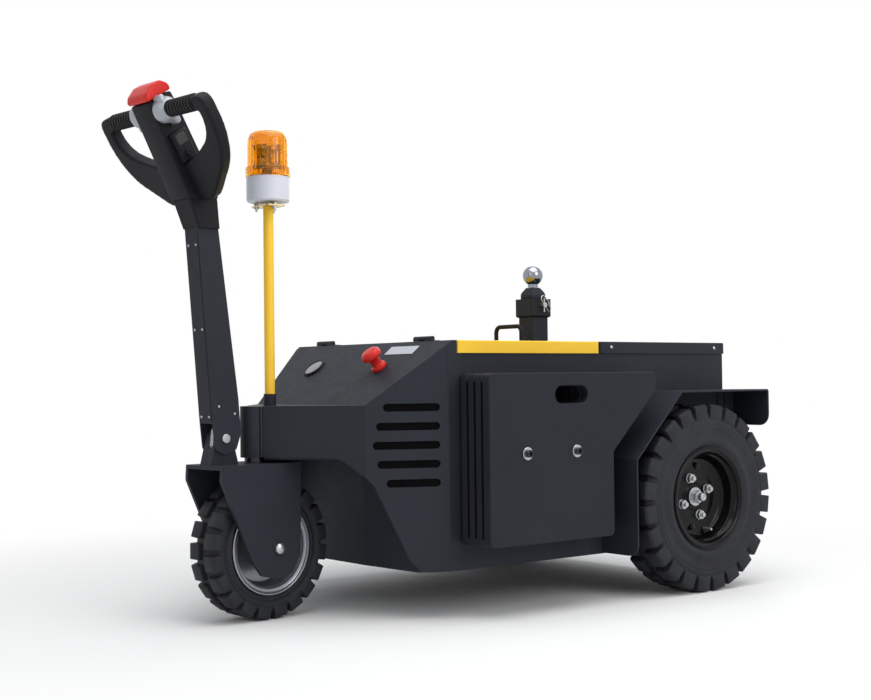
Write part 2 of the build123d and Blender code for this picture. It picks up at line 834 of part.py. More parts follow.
# Steering: shaft in the head tube, and the fork that it turns
with BuildPart() as steering_shaft:
    with BuildSketch(steer_flat(fork_top)):
        Circle(head_tube_bore - shaft_clear)
    extrude(amount=neck_top - fork_top)
steering_shaft.part.label = "steering_shaft"
export_step(steering_shaft.part, "parts/steering_shaft.step")

with BuildPart() as fork:
    fork_outer = fork_inner + fork_sheet
    with BuildSketch(steer_side(fork_outer)):
        with BuildLine():
            Polyline(
                (fork_rear, fork_top),
                (fork_front, fork_top),
                (fork_front + 2, fork_top - 30),
                (50, 120),
                (28, 92),
                (trail, 83),
                (-50, 95),
                (fork_rear + 4, 128),
                close=True,
            )
        make_face()
        fillet([v for v in vertices() if v.Y < fork_top - 1], 14.0)
    extrude(amount=2 * fork_outer)
    with BuildSketch(steer_side(fork_inner)):
        with Locations((0, (fork_top - fork_sheet) / 2)):
            Rectangle(3 * fork_front, fork_top - fork_sheet)
    extrude(amount=2 * fork_inner, mode=Mode.SUBTRACT)
    with BuildSketch(steer_side(fork_outer)):
        with Locations((trail, front_tyre_r)):
            Circle(front_axle_r + seam / 3)
    extrude(amount=2 * fork_outer, mode=Mode.SUBTRACT)
fork.part.label = "fork"
export_step(fork.part, "parts/fork.step")

with BuildPart() as front_axle:
    with BuildSketch(steer_side(fork_outer + seam)):
        with Locations((trail, front_tyre_r)):
            Circle(front_axle_r)
    extrude(amount=2 * (fork_outer + seam))
    for start, length, radius in (
        (fork_outer + seam + 5, 5, 10.5),
        (-fork_outer - seam, 5, 10.5),
        (fork_inner - seam, fork_inner - seam - front_hub_half - seam, 12.0),
        (-front_hub_half - seam, fork_inner - seam - front_hub_half - seam, 12.0),
    ):
        with BuildSketch(steer_side(start)):
            with Locations((trail, front_tyre_r)):
                Circle(radius)
        extrude(amount=length)
front_axle.part.label = "front_axle"
export_step(front_axle.part, "parts/front_axle.step")

with BuildPart() as tiller_bracket:
    with BuildSketch(steer_side(bracket_half)):
        with BuildLine():
            Polyline(
                (pivot_x - 34, fork_top),
                (pivot_x + 33, fork_top),
                (pivot_x + 16, pivot_z + 14),
                (pivot_x - 16, pivot_z + 14),
                close=True,
            )
        make_face()
        fillet([v for v in vertices() if v.Y > pivot_z], 12.0)
        with Locations((pivot_x, pivot_z)):
            Circle(pivot_r + seam / 3, mode=Mode.SUBTRACT)
    extrude(amount=2 * bracket_half)
tiller_bracket.part.label = "tiller_bracket"
export_step(tiller_bracket.part, "parts/tiller_bracket.step")

with BuildPart() as tiller_pivot:
    with BuildSketch(steer_side(arm_half + seam + pivot_head_t)):
        with Locations((pivot_x, pivot_z)):
            Circle(pivot_r)
    extrude(amount=2 * (arm_half + seam + pivot_head_t))
    for start in (arm_half + seam + pivot_head_t, -arm_half - seam):
        with BuildSketch(steer_side(start)):
            with Locations((pivot_x, pivot_z)):
                Circle(pivot_head_r)
        extrude(amount=pivot_head_t)
tiller_pivot.part.label = "tiller_pivot"
export_step(tiller_pivot.part, "parts/tiller_pivot.step")

# Tiller arm: a folded box whose two cheeks run down past the pivot
with BuildPart() as tiller_arm:
    with BuildSketch(steer_side(arm_half)):
        with BuildLine():
            Polyline(arm_front_low, arm_front_high, arm_rear_high, arm_rear_low, *arm_heel, close=True)
        make_face()
        fillet([v for v in vertices() if v.Y < pivot_z + 12], 12.0)
    extrude(amount=2 * arm_half)
    with BuildSketch(steer_side(arm_half - arm_sheet)):
        with BuildLine():
            Polyline(
                (arm_front_low[0] - arm_sheet, arm_front_low[1]),
                (arm_front_high[0] - arm_sheet, arm_front_high[1]),
                (arm_rear_high[0] + arm_sheet, arm_rear_high[1]),
                (arm_rear_low[0] + arm_sheet, arm_rear_low[1]),
                (arm_rear_low[0] - 20, arm_rear_low[1]),
                (arm_rear_low[0] - 20, fork_top),
                (arm_front_low[0] + 20, fork_top),
                (arm_front_low[0] + 20, arm_front_low[1]),
                close=True,
            )
        make_face()
    extrude(amount=2 * (arm_half - arm_sheet), mode=Mode.SUBTRACT)
    with BuildSketch(steer_side(arm_half)):
        with Locations((pivot_x, pivot_z)):
            Circle(pivot_r + shaft_clear)
    extrude(amount=2 * arm_half, mode=Mode.SUBTRACT)
tiller_arm.part.label = "tiller_arm"
export_step(tiller_arm.part, "parts/tiller_arm.step")

collar_top = (171.0, 830.0)
collar_back = (104.0, 836.0)
head_front = (262.0, 1003.0)
head_back = (214.0, 1034.0)
with BuildPart() as tiller_collar:
    with BuildSketch(steer_side(collar_half)):
        with BuildLine():
            Polyline(
                (arm_rear_high[0] - 1, arm_rear_high[1]),
                (arm_front_high[0] + 1, arm_front_high[1]),
                collar_top,
                collar_back,
                close=True,
            )
        make_face()
    extrude(amount=2 * collar_half)
    fillet(tiller_collar.edges().filter_by(lambda e: abs(e.tangent_at(0).Z) > 0.7), 4.0)
tiller_collar.part.label = "tiller_collar"
export_step(tiller_collar.part, "parts/tiller_collar.step")

with BuildPart() as tiller_head:
    with BuildSketch(steer_side(head_half)):
        with BuildLine():
            Polyline(collar_back, collar_top, head_front, head_back, (192.0, 1000.0), (122.0, 880.0), close=True)
        make_face()
    extrude(amount=2 * head_half)
    fillet(tiller_head.edges().filter_by(lambda e: abs(e.tangent_at(0).Z) > 0.7), 5.0)
tiller_head.part.label = "tiller_head"
export_step(tiller_head.part, "parts/tiller_head.step")

# Handle loops in a plane that leans with the head: x outwards from its middle, y up the lean
loop_up = Vector(0, 0, loop_top[1] - loop_foot[1]) + fwd * (loop_top[0] - loop_foot[0])
loop_len = loop_up.length
loop_up = loop_up.normalized()
loop_origin = steer_origin + fwd * loop_foot[0] + Vector(0, 0, loop_foot[1])


def loop_plane(way, above=0.0):
    """Plane of one handle loop, way 1 for the left and -1 for the right."""
    normal = (left * way).cross(loop_up)
    return Plane(origin=loop_origin + normal * above, x_dir=left * way, z_dir=normal)


loop_normal = left.cross(loop_up)


def on_grip_end(edge):
    """Whether an edge lies on an end face that a grip butts against."""
    reach = abs((edge.center() - steer_origin).dot(left))
    flat = abs(edge.tangent_at(0).dot(left)) < 0.1
    near_top = (edge.center() - loop_origin).dot(loop_up) > loop_len - loop_t
    return flat and near_top and abs(reach - grip_start - grip_len) < 1


with BuildPart() as handle_loops:
    for way in (1, -1):
        with BuildSketch(loop_plane(way)):
            with BuildLine():
                Polyline(
                    (head_half + seam, 14),
                    (60, 2),
                    (148, 74),
                    (176, 130),
                    (176, loop_len + loop_t / 2),
                    (head_half + seam, loop_len + loop_t / 2),
                    close=True,
                )
            make_face()
            with BuildLine():
                Polyline(
                    (head_half - 1, 84),
                    (80, 96),
                    (132, 122),
                    (150, 150),
                    (150, loop_len - loop_t / 2),
                    (head_half - 1, loop_len - loop_t / 2),
                    close=True,
                )
            make_face(mode=Mode.SUBTRACT)
            loop_end = grip_start + grip_len + seam
            with Locations(((head_half - 1 + loop_end) / 2, loop_len)):
                Rectangle(loop_end - head_half + 1, 2 * loop_t, mode=Mode.SUBTRACT)
        extrude(amount=loop_t / 2, both=True)
    rounded = [
        e for e in handle_loops.edges()
        if abs((e.center() - loop_origin).dot(loop_normal)) > loop_t / 2 - 0.1
        and abs((e.center() - steer_origin).dot(left)) > head_half + 6
    ]
    fillet([e for e in rounded if not on_grip_end(e)], loop_edge_r)
handle_loops.part.label = "handle_loops"
export_step(handle_loops.part, "parts/handle_loops.step")

with BuildPart() as grips:
    for way in (1, -1):
        centre = loop_origin + loop_up * loop_len
        section = Plane(origin=centre, x_dir=left * way, z_dir=(left * way).cross(loop_up))
        rib_w = grip_len / (2 * grip_ribs)
        outline = [(grip_start, 0)]
        for k in range(grip_ribs):
            at = grip_start + 2 * k * rib_w
            outline += [(at, grip_r), (at + rib_w, grip_r), (at + rib_w, grip_r - grip_rib)]
            outline += [(at + 2 * rib_w, grip_r - grip_rib)]
        outline += [(grip_start + grip_len, 0)]
        with BuildSketch(section):
            with BuildLine():
                Polyline(*outline, close=True)
            make_face()
        revolve(axis=Axis(centre, left * way))
grips.part.label = "grips"
export_step(grips.part, "parts/grips.step")

# Thumb throttles: a hub with two wings at the inner end of each grip
with BuildPart() as throttles:
    for way in (1, -1):
        start = loop_origin + loop_up * loop_len + left * way * (head_half + seam)
        with BuildSketch(Plane(origin=start, x_dir=loop_normal, z_dir=left * way)):
            SlotOverall(2 * throttle_wing, throttle_w, rotation=90)
        extrude(amount=grip_start - head_half - 2 * seam)
        rim_edges = throttles.edges().filter_by(
            lambda e: abs((e.center() - start).dot(left * way) - (grip_start - head_half - 2 * seam)) < 0.1
            or abs((e.center() - start).dot(left * way)) < 0.1
        )
        fillet(rim_edges, 5.0)
throttles.part.label = "throttles"
export_step(throttles.part, "parts/throttles.step")

# Red reverse button over the head's tip
with BuildPart() as belly_button:
    with BuildSketch(steer_side(button_half)):
        with BuildLine():
            Polyline(
                (head_front[0] + 1, head_front[1] + 1),
                (head_front[0] + 8, head_front[1] + 6),
                (236, 1053),
                (head_back[0] + 2, head_back[1] + 8),
                (head_back[0] + 1, head_back[1] + 0.4),
                close=True,
            )
        make_face()
        fillet([v for v in vertices() if v.Y > head_back[1] + 5], 5.0)
    extrude(amount=2 * button_half)
    ends = belly_button.edges().filter_by(lambda e: abs(abs((e.center() - steer_origin).dot(left)) - button_half) < 0.1)
    fillet(ends, 4.0)
belly_button.part.label = "belly_button"
export_step(belly_button.part, "parts/belly_button.step")

# Key and battery display panel on the head's left cheek
with BuildPart() as key_panel:
    with BuildSketch(steer_side(head_half + seam + panel_t)):
        with Locations(Location((panel_at[0], panel_at[1], 0), (0, 0, -31))):
            RectangleRounded(panel_w, panel_h, 4.0)
    extrude(amount=panel_t)
    fillet(key_panel.edges().filter_by(lambda e: (e.center() - steer_origin).dot(left) > head_half + panel_t), 1.5)
key_panel.part.label = "key_panel"
export_step(key_panel.part, "parts/key_panel.step")

# Hitch: square post through the rear cover, sleeve, tow ball and cross pin
with BuildPart() as hitch_post:
    with BuildSketch(Plane.XY.offset(body_bottom + sheet)):
        with Locations((hitch_x, 0)):
            RectangleRounded(post_w, post_w, 4.0)
            RectangleRounded(post_w - 2 * post_wall, post_w - 2 * post_wall, 1.0, mode=Mode.SUBTRACT)
    extrude(amount=sleeve_low + 16.0 - body_bottom - sheet)
hitch_post.part.label = "hitch_post"
export_step(hitch_post.part, "parts/hitch_post.step")

with BuildPart() as hitch_sleeve:
    with BuildSketch(Plane.XY.offset(sleeve_low)):
        with Locations((hitch_x, 0)):
            RectangleRounded(sleeve_w, sleeve_w, 5.0)
    extrude(amount=sleeve_top - sleeve_low)
    chamfer(hitch_sleeve.faces().sort_by(Axis.Z)[0].edges(), 3.5)
    with BuildSketch(Plane.XY.offset(sleeve_low)):
        with Locations((hitch_x, 0)):
            RectangleRounded(post_w + 2 * shaft_clear, post_w + 2 * shaft_clear, 4.0)
    extrude(amount=sleeve_top - sleeve_low, mode=Mode.SUBTRACT)
    with BuildSketch(Plane.XZ):
        with Locations((hitch_x, pin_z)):
            Circle(pin_r + seam / 3)
    extrude(amount=sleeve_w, both=True, mode=Mode.SUBTRACT)
hitch_sleeve.part.label = "hitch_sleeve"
export_step(hitch_sleeve.part, "parts/hitch_sleeve.step")

with BuildPart() as ball_mount:
    with BuildSketch(Plane.XY.offset(sleeve_low + 16.0 + seam)):
        with Locations((hitch_x, 0)):
            RectangleRounded(post_w - seam, post_w - seam, 4.0)
    extrude(amount=sleeve_top - sleeve_low - 16.0 - seam)
    with BuildSketch(Plane.XY.offset(sleeve_top)):
        with Locations((hitch_x, 0)):
            RectangleRounded(tube_w, tube_w, 6.0)
    extrude(amount=tube_top - sleeve_top)
    fillet(ball_mount.faces().sort_by(Axis.Z)[-1].edges(), 5.0)
    with BuildSketch(Plane.XZ):
        with Locations((hitch_x, pin_z)):
            Circle(pin_r + seam / 3)
    extrude(amount=sleeve_w, both=True, mode=Mode.SUBTRACT)
ball_mount.part.label = "ball_mount"
export_step(ball_mount.part, "parts/ball_mount.step")

with BuildPart() as tow_ball:
    with BuildSketch(Plane(origin=(hitch_x, 0, 0), x_dir=(1, 0, 0), z_dir=(0, -1, 0))):
        with BuildLine():
            rise = (ball_r ** 2 - ball_neck_r ** 2) ** 0.5
            Polyline(
                (ball_neck_r, ball_z - rise),
                (ball_neck_r, tube_top + 6),
                (ball_neck_r + 5, tube_top + 4),
                (ball_neck_r + 5, tube_top + washer_gap),
                (0, tube_top + washer_gap),
                (0, ball_z + ball_r),
            )
            ThreePointArc((ball_neck_r, ball_z - rise), (ball_r, ball_z), (0, ball_z + ball_r))
        make_face()
    revolve(axis=Axis((hitch_x, 0, 0), (0, 0, 1)))
tow_ball.part.label = "tow_ball"
export_step(tow_ball.part, "parts/tow_ball.step")

with BuildPart() as hitch_pin:
    with BuildSketch(side(sleeve_w / 2 + pin_proud)):
        with Locations((hitch_x, pin_z)):
            Circle(pin_r)
    extrude(amount=sleeve_w + 2 * pin_proud)
    with BuildSketch(side(-sleeve_w / 2 - pin_proud + 4)):
        with Locations((hitch_x, pin_z)):
            Circle(pin_r + 3)
    extrude(amount=4.0)
    with BuildSketch(Plane.XY.offset(pin_z - 16)):
        with Locations((hitch_x, sleeve_w / 2 + pin_proud - 4)):
            Circle(1.6)
    extrude(amount=32.0)
hitch_pin.part.label = "hitch_pin"
export_step(hitch_pin.part, "parts/hitch_pin.step")

# Warning beacon on its pole behind the head tube
with BuildPart() as beacon_pole:
    with BuildSketch(Plane.XY.offset(neck_top)):
        with Locations((beacon_x, 0)):
            Circle(pole_r)
            Circle(pole_r - 2, mode=Mode.SUBTRACT)
    extrude(amount=pole_top - neck_top)
beacon_pole.part.label = "beacon_pole"
export_step(beacon_pole.part, "parts/beacon_pole.step")

with BuildPart() as beacon_socket:
    with BuildSketch(Plane.XY.offset(neck_top)):
        with Locations((beacon_x, 0)):
            Circle(socket_r)
            Circle(pole_r + shaft_clear, mode=Mode.SUBTRACT)
    extrude(amount=socket_top - neck_top)
beacon_socket.part.label = "beacon_socket"
export_step(beacon_socket.part, "parts/beacon_socket.step")

with BuildPart() as beacon_bracket:
    with BuildSketch(Plane.XY.offset(pole_top)):
        with Locations((beacon_x, 0)):
            RectangleRounded(bracket_plate_w, bracket_plate_l, 6.0)
    extrude(amount=bracket_plate_t)
    with BuildSketch(Plane.XY.offset(pole_top + bracket_plate_t)):
        with Locations((beacon_x, 0)):
            with PolarLocations(stand_off_circle_r, 3, start_angle=90):
                Circle(stand_off_r)
    extrude(amount=base_low - pole_top - bracket_plate_t)
beacon_bracket.part.label = "beacon_bracket"
export_step(beacon_bracket.part, "parts/beacon_bracket.step")

beacon_plane = Plane(origin=(beacon_x, 0, 0), x_dir=(1, 0, 0), z_dir=(0, -1, 0))
beacon_axis = Axis((beacon_x, 0, 0), (0, 0, 1))
with BuildPart() as beacon_base:
    with BuildSketch(beacon_plane):
        with BuildLine():
            Polyline(
                (0, base_low),
                (base_r - 3, base_low),
                (base_r, base_low + 3),
                (base_r, base_top),
                (0, base_top),
                close=True,
            )
        make_face()
    revolve(axis=beacon_axis)
beacon_base.part.label = "beacon_base"
export_step(beacon_base.part, "parts/beacon_base.step")

with BuildPart() as beacon_dome:
    with BuildSketch(beacon_plane):
        with BuildLine():
            Polyline(
                (0, dome_top),
                (dome_r - 16, dome_top - 2),
                (dome_r - 5, dome_top - 8),
                (dome_r - 1, dome_top - 20),
                (dome_r, ring_top),
                (ring_r, ring_top - 2),
                (ring_r, base_top + seam),
                (lamp_r + 10, base_top + seam),
                (dome_r - 2 * dome_wall, base_top + 3),
                (dome_r - 1 - dome_wall, dome_top - 20),
                (dome_r - 6 - dome_wall, dome_top - 9),
                (dome_r - 17, dome_top - 2 - dome_wall),
                (0, dome_top - dome_wall),
                close=True,
            )
        make_face()
    revolve(axis=beacon_axis)
beacon_dome.part.label = "beacon_dome"
export_step(beacon_dome.part, "parts/beacon_dome.step")

with BuildPart() as beacon_lamp:
    with BuildSketch(beacon_plane):
        with BuildLine():
            Polyline(
                (0, base_top + seam),
                (lamp_r + 8, base_top + seam),
                (lamp_r + 8, base_top + 10),
                (lamp_r - 6, base_top + 14),
                (lamp_r, lamp_top - 10),
                (lamp_r - 5, lamp_top),
                (0, lamp_top),
                close=True,
            )
        make_face()
    revolve(axis=beacon_axis)
beacon_lamp.part.label = "beacon_lamp"
export_step(beacon_lamp.part, "parts/beacon_lamp.step")

# Controls on the hood: emergency stop mushroom and the round battery gauge
with BuildPart() as stop_button:
    stop_base = hood_plane(*stop_at)
    with BuildSketch(stop_base.offset(-sheet)):
        Circle(stop_stem_r)
    extrude(amount=sheet + stop_neck_high)
    with BuildSketch(stop_base.offset(seam)):
        Circle(stop_collar_r)
    extrude(amount=stop_collar_high)
    with BuildSketch(stop_base.offset(stop_neck_high)):
        Circle(stop_head_r)
    extrude(amount=stop_head_high)
    top = stop_button.faces().sort_by(Axis(stop_base.origin, stop_base.z_dir))[-1]
    fillet(top.edges(), stop_head_high * 0.6)
stop_button.part.label = "stop_button"
export_step(stop_button.part, "parts/stop_button.step")

with BuildPart() as battery_gauge:
    with BuildSketch(hood_plane(*gauge_at).offset(-14.0)):
        Circle(gauge_r - 3.0 - seam)
    extrude(amount=14.0 + seam)
    with BuildSketch(hood_plane(*gauge_at).offset(seam)):
        Circle(gauge_r)
    extrude(amount=3.0)
    face = battery_gauge.faces().sort_by(Axis(hood_plane(*gauge_at).origin, hood_plane(*gauge_at).z_dir))[-1]
    chamfer(face.edges(), 1.5)
battery_gauge.part.label = "battery_gauge"
export_step(battery_gauge.part, "parts/battery_gauge.step")
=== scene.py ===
"""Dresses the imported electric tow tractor: tyres, beacon lens, fasteners, finishes and studio."""

import json
import math

import bpy
from bpy.props import FloatProperty, FloatVectorProperty, PointerProperty
from mathutils import Matrix, Vector


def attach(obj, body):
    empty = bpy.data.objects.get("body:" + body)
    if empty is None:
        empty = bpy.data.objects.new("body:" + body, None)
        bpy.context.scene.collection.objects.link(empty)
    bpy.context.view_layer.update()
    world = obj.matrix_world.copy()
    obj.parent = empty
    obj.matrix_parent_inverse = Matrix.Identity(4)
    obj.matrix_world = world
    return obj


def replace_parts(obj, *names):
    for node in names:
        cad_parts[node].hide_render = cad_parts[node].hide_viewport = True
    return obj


bl_info = {
    "name": "Electric tow tractor",
    "version": (1, 0, 0),
    "blender": (4, 5, 0),
    "location": "3D View > Sidebar > Tow tractor",
    "description": "Detail pieces, finishes and a studio for the packed electric tow tractor",
    "category": "Add Mesh",
}

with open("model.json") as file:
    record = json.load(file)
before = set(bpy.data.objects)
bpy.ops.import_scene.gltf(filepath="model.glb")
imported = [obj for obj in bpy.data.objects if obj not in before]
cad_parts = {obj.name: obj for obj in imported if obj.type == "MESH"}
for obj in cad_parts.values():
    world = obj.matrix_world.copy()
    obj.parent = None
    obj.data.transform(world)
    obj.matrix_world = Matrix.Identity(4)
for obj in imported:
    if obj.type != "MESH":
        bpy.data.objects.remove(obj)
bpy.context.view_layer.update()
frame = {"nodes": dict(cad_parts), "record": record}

# The machine's stations in the row frame, in metres
REAR_AXLE_X = -0.4975
STEER_X = 0.4375
STEER_TURN = math.radians(5.8)
FORWARD = Vector((math.cos(STEER_TURN), math.sin(STEER_TURN), 0))
LEFT = Vector((-math.sin(STEER_TURN), math.cos(STEER_TURN), 0))
UP = Vector((0, 0, 1))
LID_TOP = 0.555
HOOD_BEND_X = 0.1475
HOOD_DROP = 128.0 / 159.0
REAR_WHEEL = Vector((REAR_AXLE_X, 0.338, 0.208))
FRONT_WHEEL = Vector((STEER_X, 0, 0.144)) - FORWARD * 0.012
BEACON_X = REAR_AXLE_X + 0.897
HITCH_X = REAR_AXLE_X + 0.17
HEAD_TUBE_R = 0.028
TILLER_LEAN = FORWARD * 0.5145 + UP * 0.8575
TILLER_PIVOT = (0.086, 0, 0.365)
SIDES = (("left", 1), ("right", -1))
HERE = Matrix.Identity(4)
# half width, outer radius, rim radius and lugs round each tyre
REAR_TYRE = (0.05, 0.208, 0.113, 24)
FRONT_TYRE = (0.043, 0.144, 0.095, 20)
# limits for vertices that are one and for faces without area
SAME_POINT = 1e-6
NO_AREA = 1e-7


def mm(points):
    """Points given in millimetres, in metres."""
    return [tuple(value / 1000 for value in point) for point in points]


def in_steering(forward, left, up):
    """Point given in the steering group's own frame: forward, left and up from the floor."""
    return Vector((STEER_X, 0, 0)) + FORWARD * forward + LEFT * left + UP * up


def place(origin, axis=UP, along=None):
    """Matrix that puts a piece's Z on axis and its X near along, at origin."""
    z = Vector(axis).normalized()
    if along is None:
        along = UP if abs(z.z) < 0.9 else (1, 0, 0)
    x = Vector(along)
    x = (x - z * x.dot(z)).normalized()
    turned_axes = Matrix((x, z.cross(x), z)).transposed().to_4x4()
    turned_axes.translation = Vector(origin)
    return turned_axes


def on_rear_wheel(way, out=0.0):
    """Place at the middle of the left (1) or right (-1) rear wheel, or out from it, with Z pointing outward."""
    return place((REAR_WHEEL.x, way * (REAR_WHEEL.y + out), REAR_WHEEL.z), (0, way, 0))


def around(where, radius, turns, high=0.0):
    """Places on a circle round where's Z, at turns in degrees."""
    return [where @ (Matrix.Rotation(math.radians(turn), 4, "Z") @ Matrix.Translation((radius, 0, high)))
            for turn in turns]


def mirrored(half, middle=()):
    """A section from its outer half, through the points on its middle, to the half's mirror image."""
    return half + list(middle) + [(r, -z) for r, z in reversed(half)]


def centred(points, middle):
    """Points counted from middle."""
    return [(x - middle.x, y - middle.y) for x, y in points]


def on_hood(x, y, above=0.0):
    """Place on the sloped hood, Z out of the hood and X up its slope."""
    normal = Vector((HOOD_DROP, 0, 1)).normalized()
    z = LID_TOP - (x - HOOD_BEND_X) * HOOD_DROP
    return place(Vector((x, y, z)) + normal * above, normal, (-1, 0, HOOD_DROP))


def length(name, description, default, low, high):
    """A length setting."""
    return FloatProperty(name=name, description=description, default=default, min=low, max=high, unit="LENGTH")


def tint(name, description, default):
    """A colour setting."""
    return FloatVectorProperty(name=name, description=description, default=default, subtype="COLOR", min=0, max=1)


class TractorSizes(bpy.types.PropertyGroup):
    """Sizes of the detail pieces."""

    tread_depth: length("Tread depth", "Depth of the rear tyres' tread grooves", 0.012, 0.004, 0.02)
    front_tread_depth: length("Front tread depth", "Depth of the front tyre's tread grooves", 0.01, 0.004, 0.02)
    screw_head: length("Screw head", "Radius of the small button-head screws", 0.0042, 0.002, 0.008)
    spring_wire: length("Spring wire", "Radius of the return spring's wire", 0.0011, 0.0005, 0.002)
    lens_flute: length("Lens flute", "Depth of the upright flutes inside the beacon lens", 0.0018, 0.0, 0.003)


class TractorColours(bpy.types.PropertyGroup):
    """Colours of the finishes."""

    body: tint("Body", "Powder coat of the body, fork and tiller arm", (0.018, 0.0205, 0.0285))
    lid: tint("Lid", "Powder coat of the lid and the beacon pole", (0.99, 0.6, 0.046))
    plates: tint("Ballast plates", "Paint of the ballast plates", (0.015, 0.0162, 0.0225))
    rubber: tint("Tyre rubber", "Rubber of the tyres", (0.0155, 0.0165, 0.0205))
    warning: tint("Red controls", "Plastic of the stop button and the reverse button", (0.62, 0.018, 0.012))
    lens: tint("Beacon lens", "Clear plastic of the beacon lens", (0.99, 0.52, 0.028))


# Materials


def new_material(name="finish"):
    """A material, its node tree and its Principled shader."""
    made = bpy.data.materials.new(name)
    made.use_nodes = True
    return made, made.node_tree, made.node_tree.nodes["Principled BSDF"]


def fill(tree, filled, inputs):
    """Gives a node's inputs their values, or a link where the value is a socket."""
    for name, value in inputs.items():
        if isinstance(value, bpy.types.NodeSocket):
            tree.links.new(value, filled.inputs[name])
        else:
            filled.inputs[name].default_value = value


def add_node(tree, kind, inputs, operation=None):
    """A new shader node with its inputs filled."""
    added = tree.nodes.new("ShaderNode" + kind)
    if operation:
        added.operation = operation
    fill(tree, added, inputs)
    return added


def noise_on_object(tree, scale, detail, stretch=(1, 1, 1)):
    """Noise read from Object coordinates."""
    where = add_node(tree, "TexCoord", {}).outputs["Object"]
    mapping = add_node(tree, "Mapping", {"Vector": where, "Scale": stretch})
    noise = add_node(tree, "TexNoise", {"Vector": mapping.outputs["Vector"], "Scale": scale, "Detail": detail})
    return noise.outputs["Fac"]


def spread(tree, value, low, high):
    """A noise value of 0.3 to 0.7 spread over low to high."""
    limits = {"From Min": 0.3, "From Max": 0.7, "To Min": low, "To Max": high}
    return add_node(tree, "MapRange", {"Value": value, **limits}).outputs["Result"]


def two_tones(tree, value, dark, light):
    """Colour between two tones by a noise value."""
    ramp = add_node(tree, "ValToRGB", {"Fac": value})
    for element, position, tone in zip(ramp.color_ramp.elements, (0.32, 0.68), (dark, light)):
        element.position = position
        element.color = (*tone, 1)
    return ramp.outputs["Color"]


def bumped(tree, value, strength, distance):
    """Bump normal from a noise value."""
    return add_node(tree, "Bump", {"Height": value, "Strength": strength, "Distance": distance}).outputs["Normal"]


def scaled(colour, share):
    """A colour made darker or lighter."""
    return tuple(min(1.0, c * share) for c in colour)


def finish(colour, rough, grain=900.0, bump=0.25, depth=0.0002, tone=0.12, metal=0.0, coat=0.0, cloud=9.0,
           stretch=(1, 1, 1), shine=0.25):
    """An opaque finish: tone clouds, uneven gloss and a fine grain."""
    made, tree, shader = new_material()
    clouds = noise_on_object(tree, cloud, 5.0)
    mottling = noise_on_object(tree, cloud * 6, 4.0, stretch)
    fine = noise_on_object(tree, grain, 2.0, stretch)
    fill(tree, shader, {
        "Base Color": two_tones(tree, clouds, scaled(colour, 1 - tone), scaled(colour, 1 + tone)),
        "Roughness": spread(tree, mottling, rough * 0.93, rough * 1.07),
        "Normal": bumped(tree, fine, bump, depth),
        "Metallic": metal,
        "Coat Weight": coat,
        "Coat Roughness": 0.12,
        "Specular IOR Level": shine,
    })
    return made


def clear_plastic(colour, rough):
    """Clear tinted plastic with faint moulding waves."""
    made, tree, shader = new_material()
    waves = noise_on_object(tree, 60.0, 2.0)
    fill(tree, shader, {
        "Base Color": two_tones(tree, waves, scaled(colour, 0.94), colour),
        "Normal": bumped(tree, waves, 0.15, 0.0005),
        "Transmission Weight": 0.93,
        "Roughness": rough,
        "IOR": 1.36,
    })
    return made


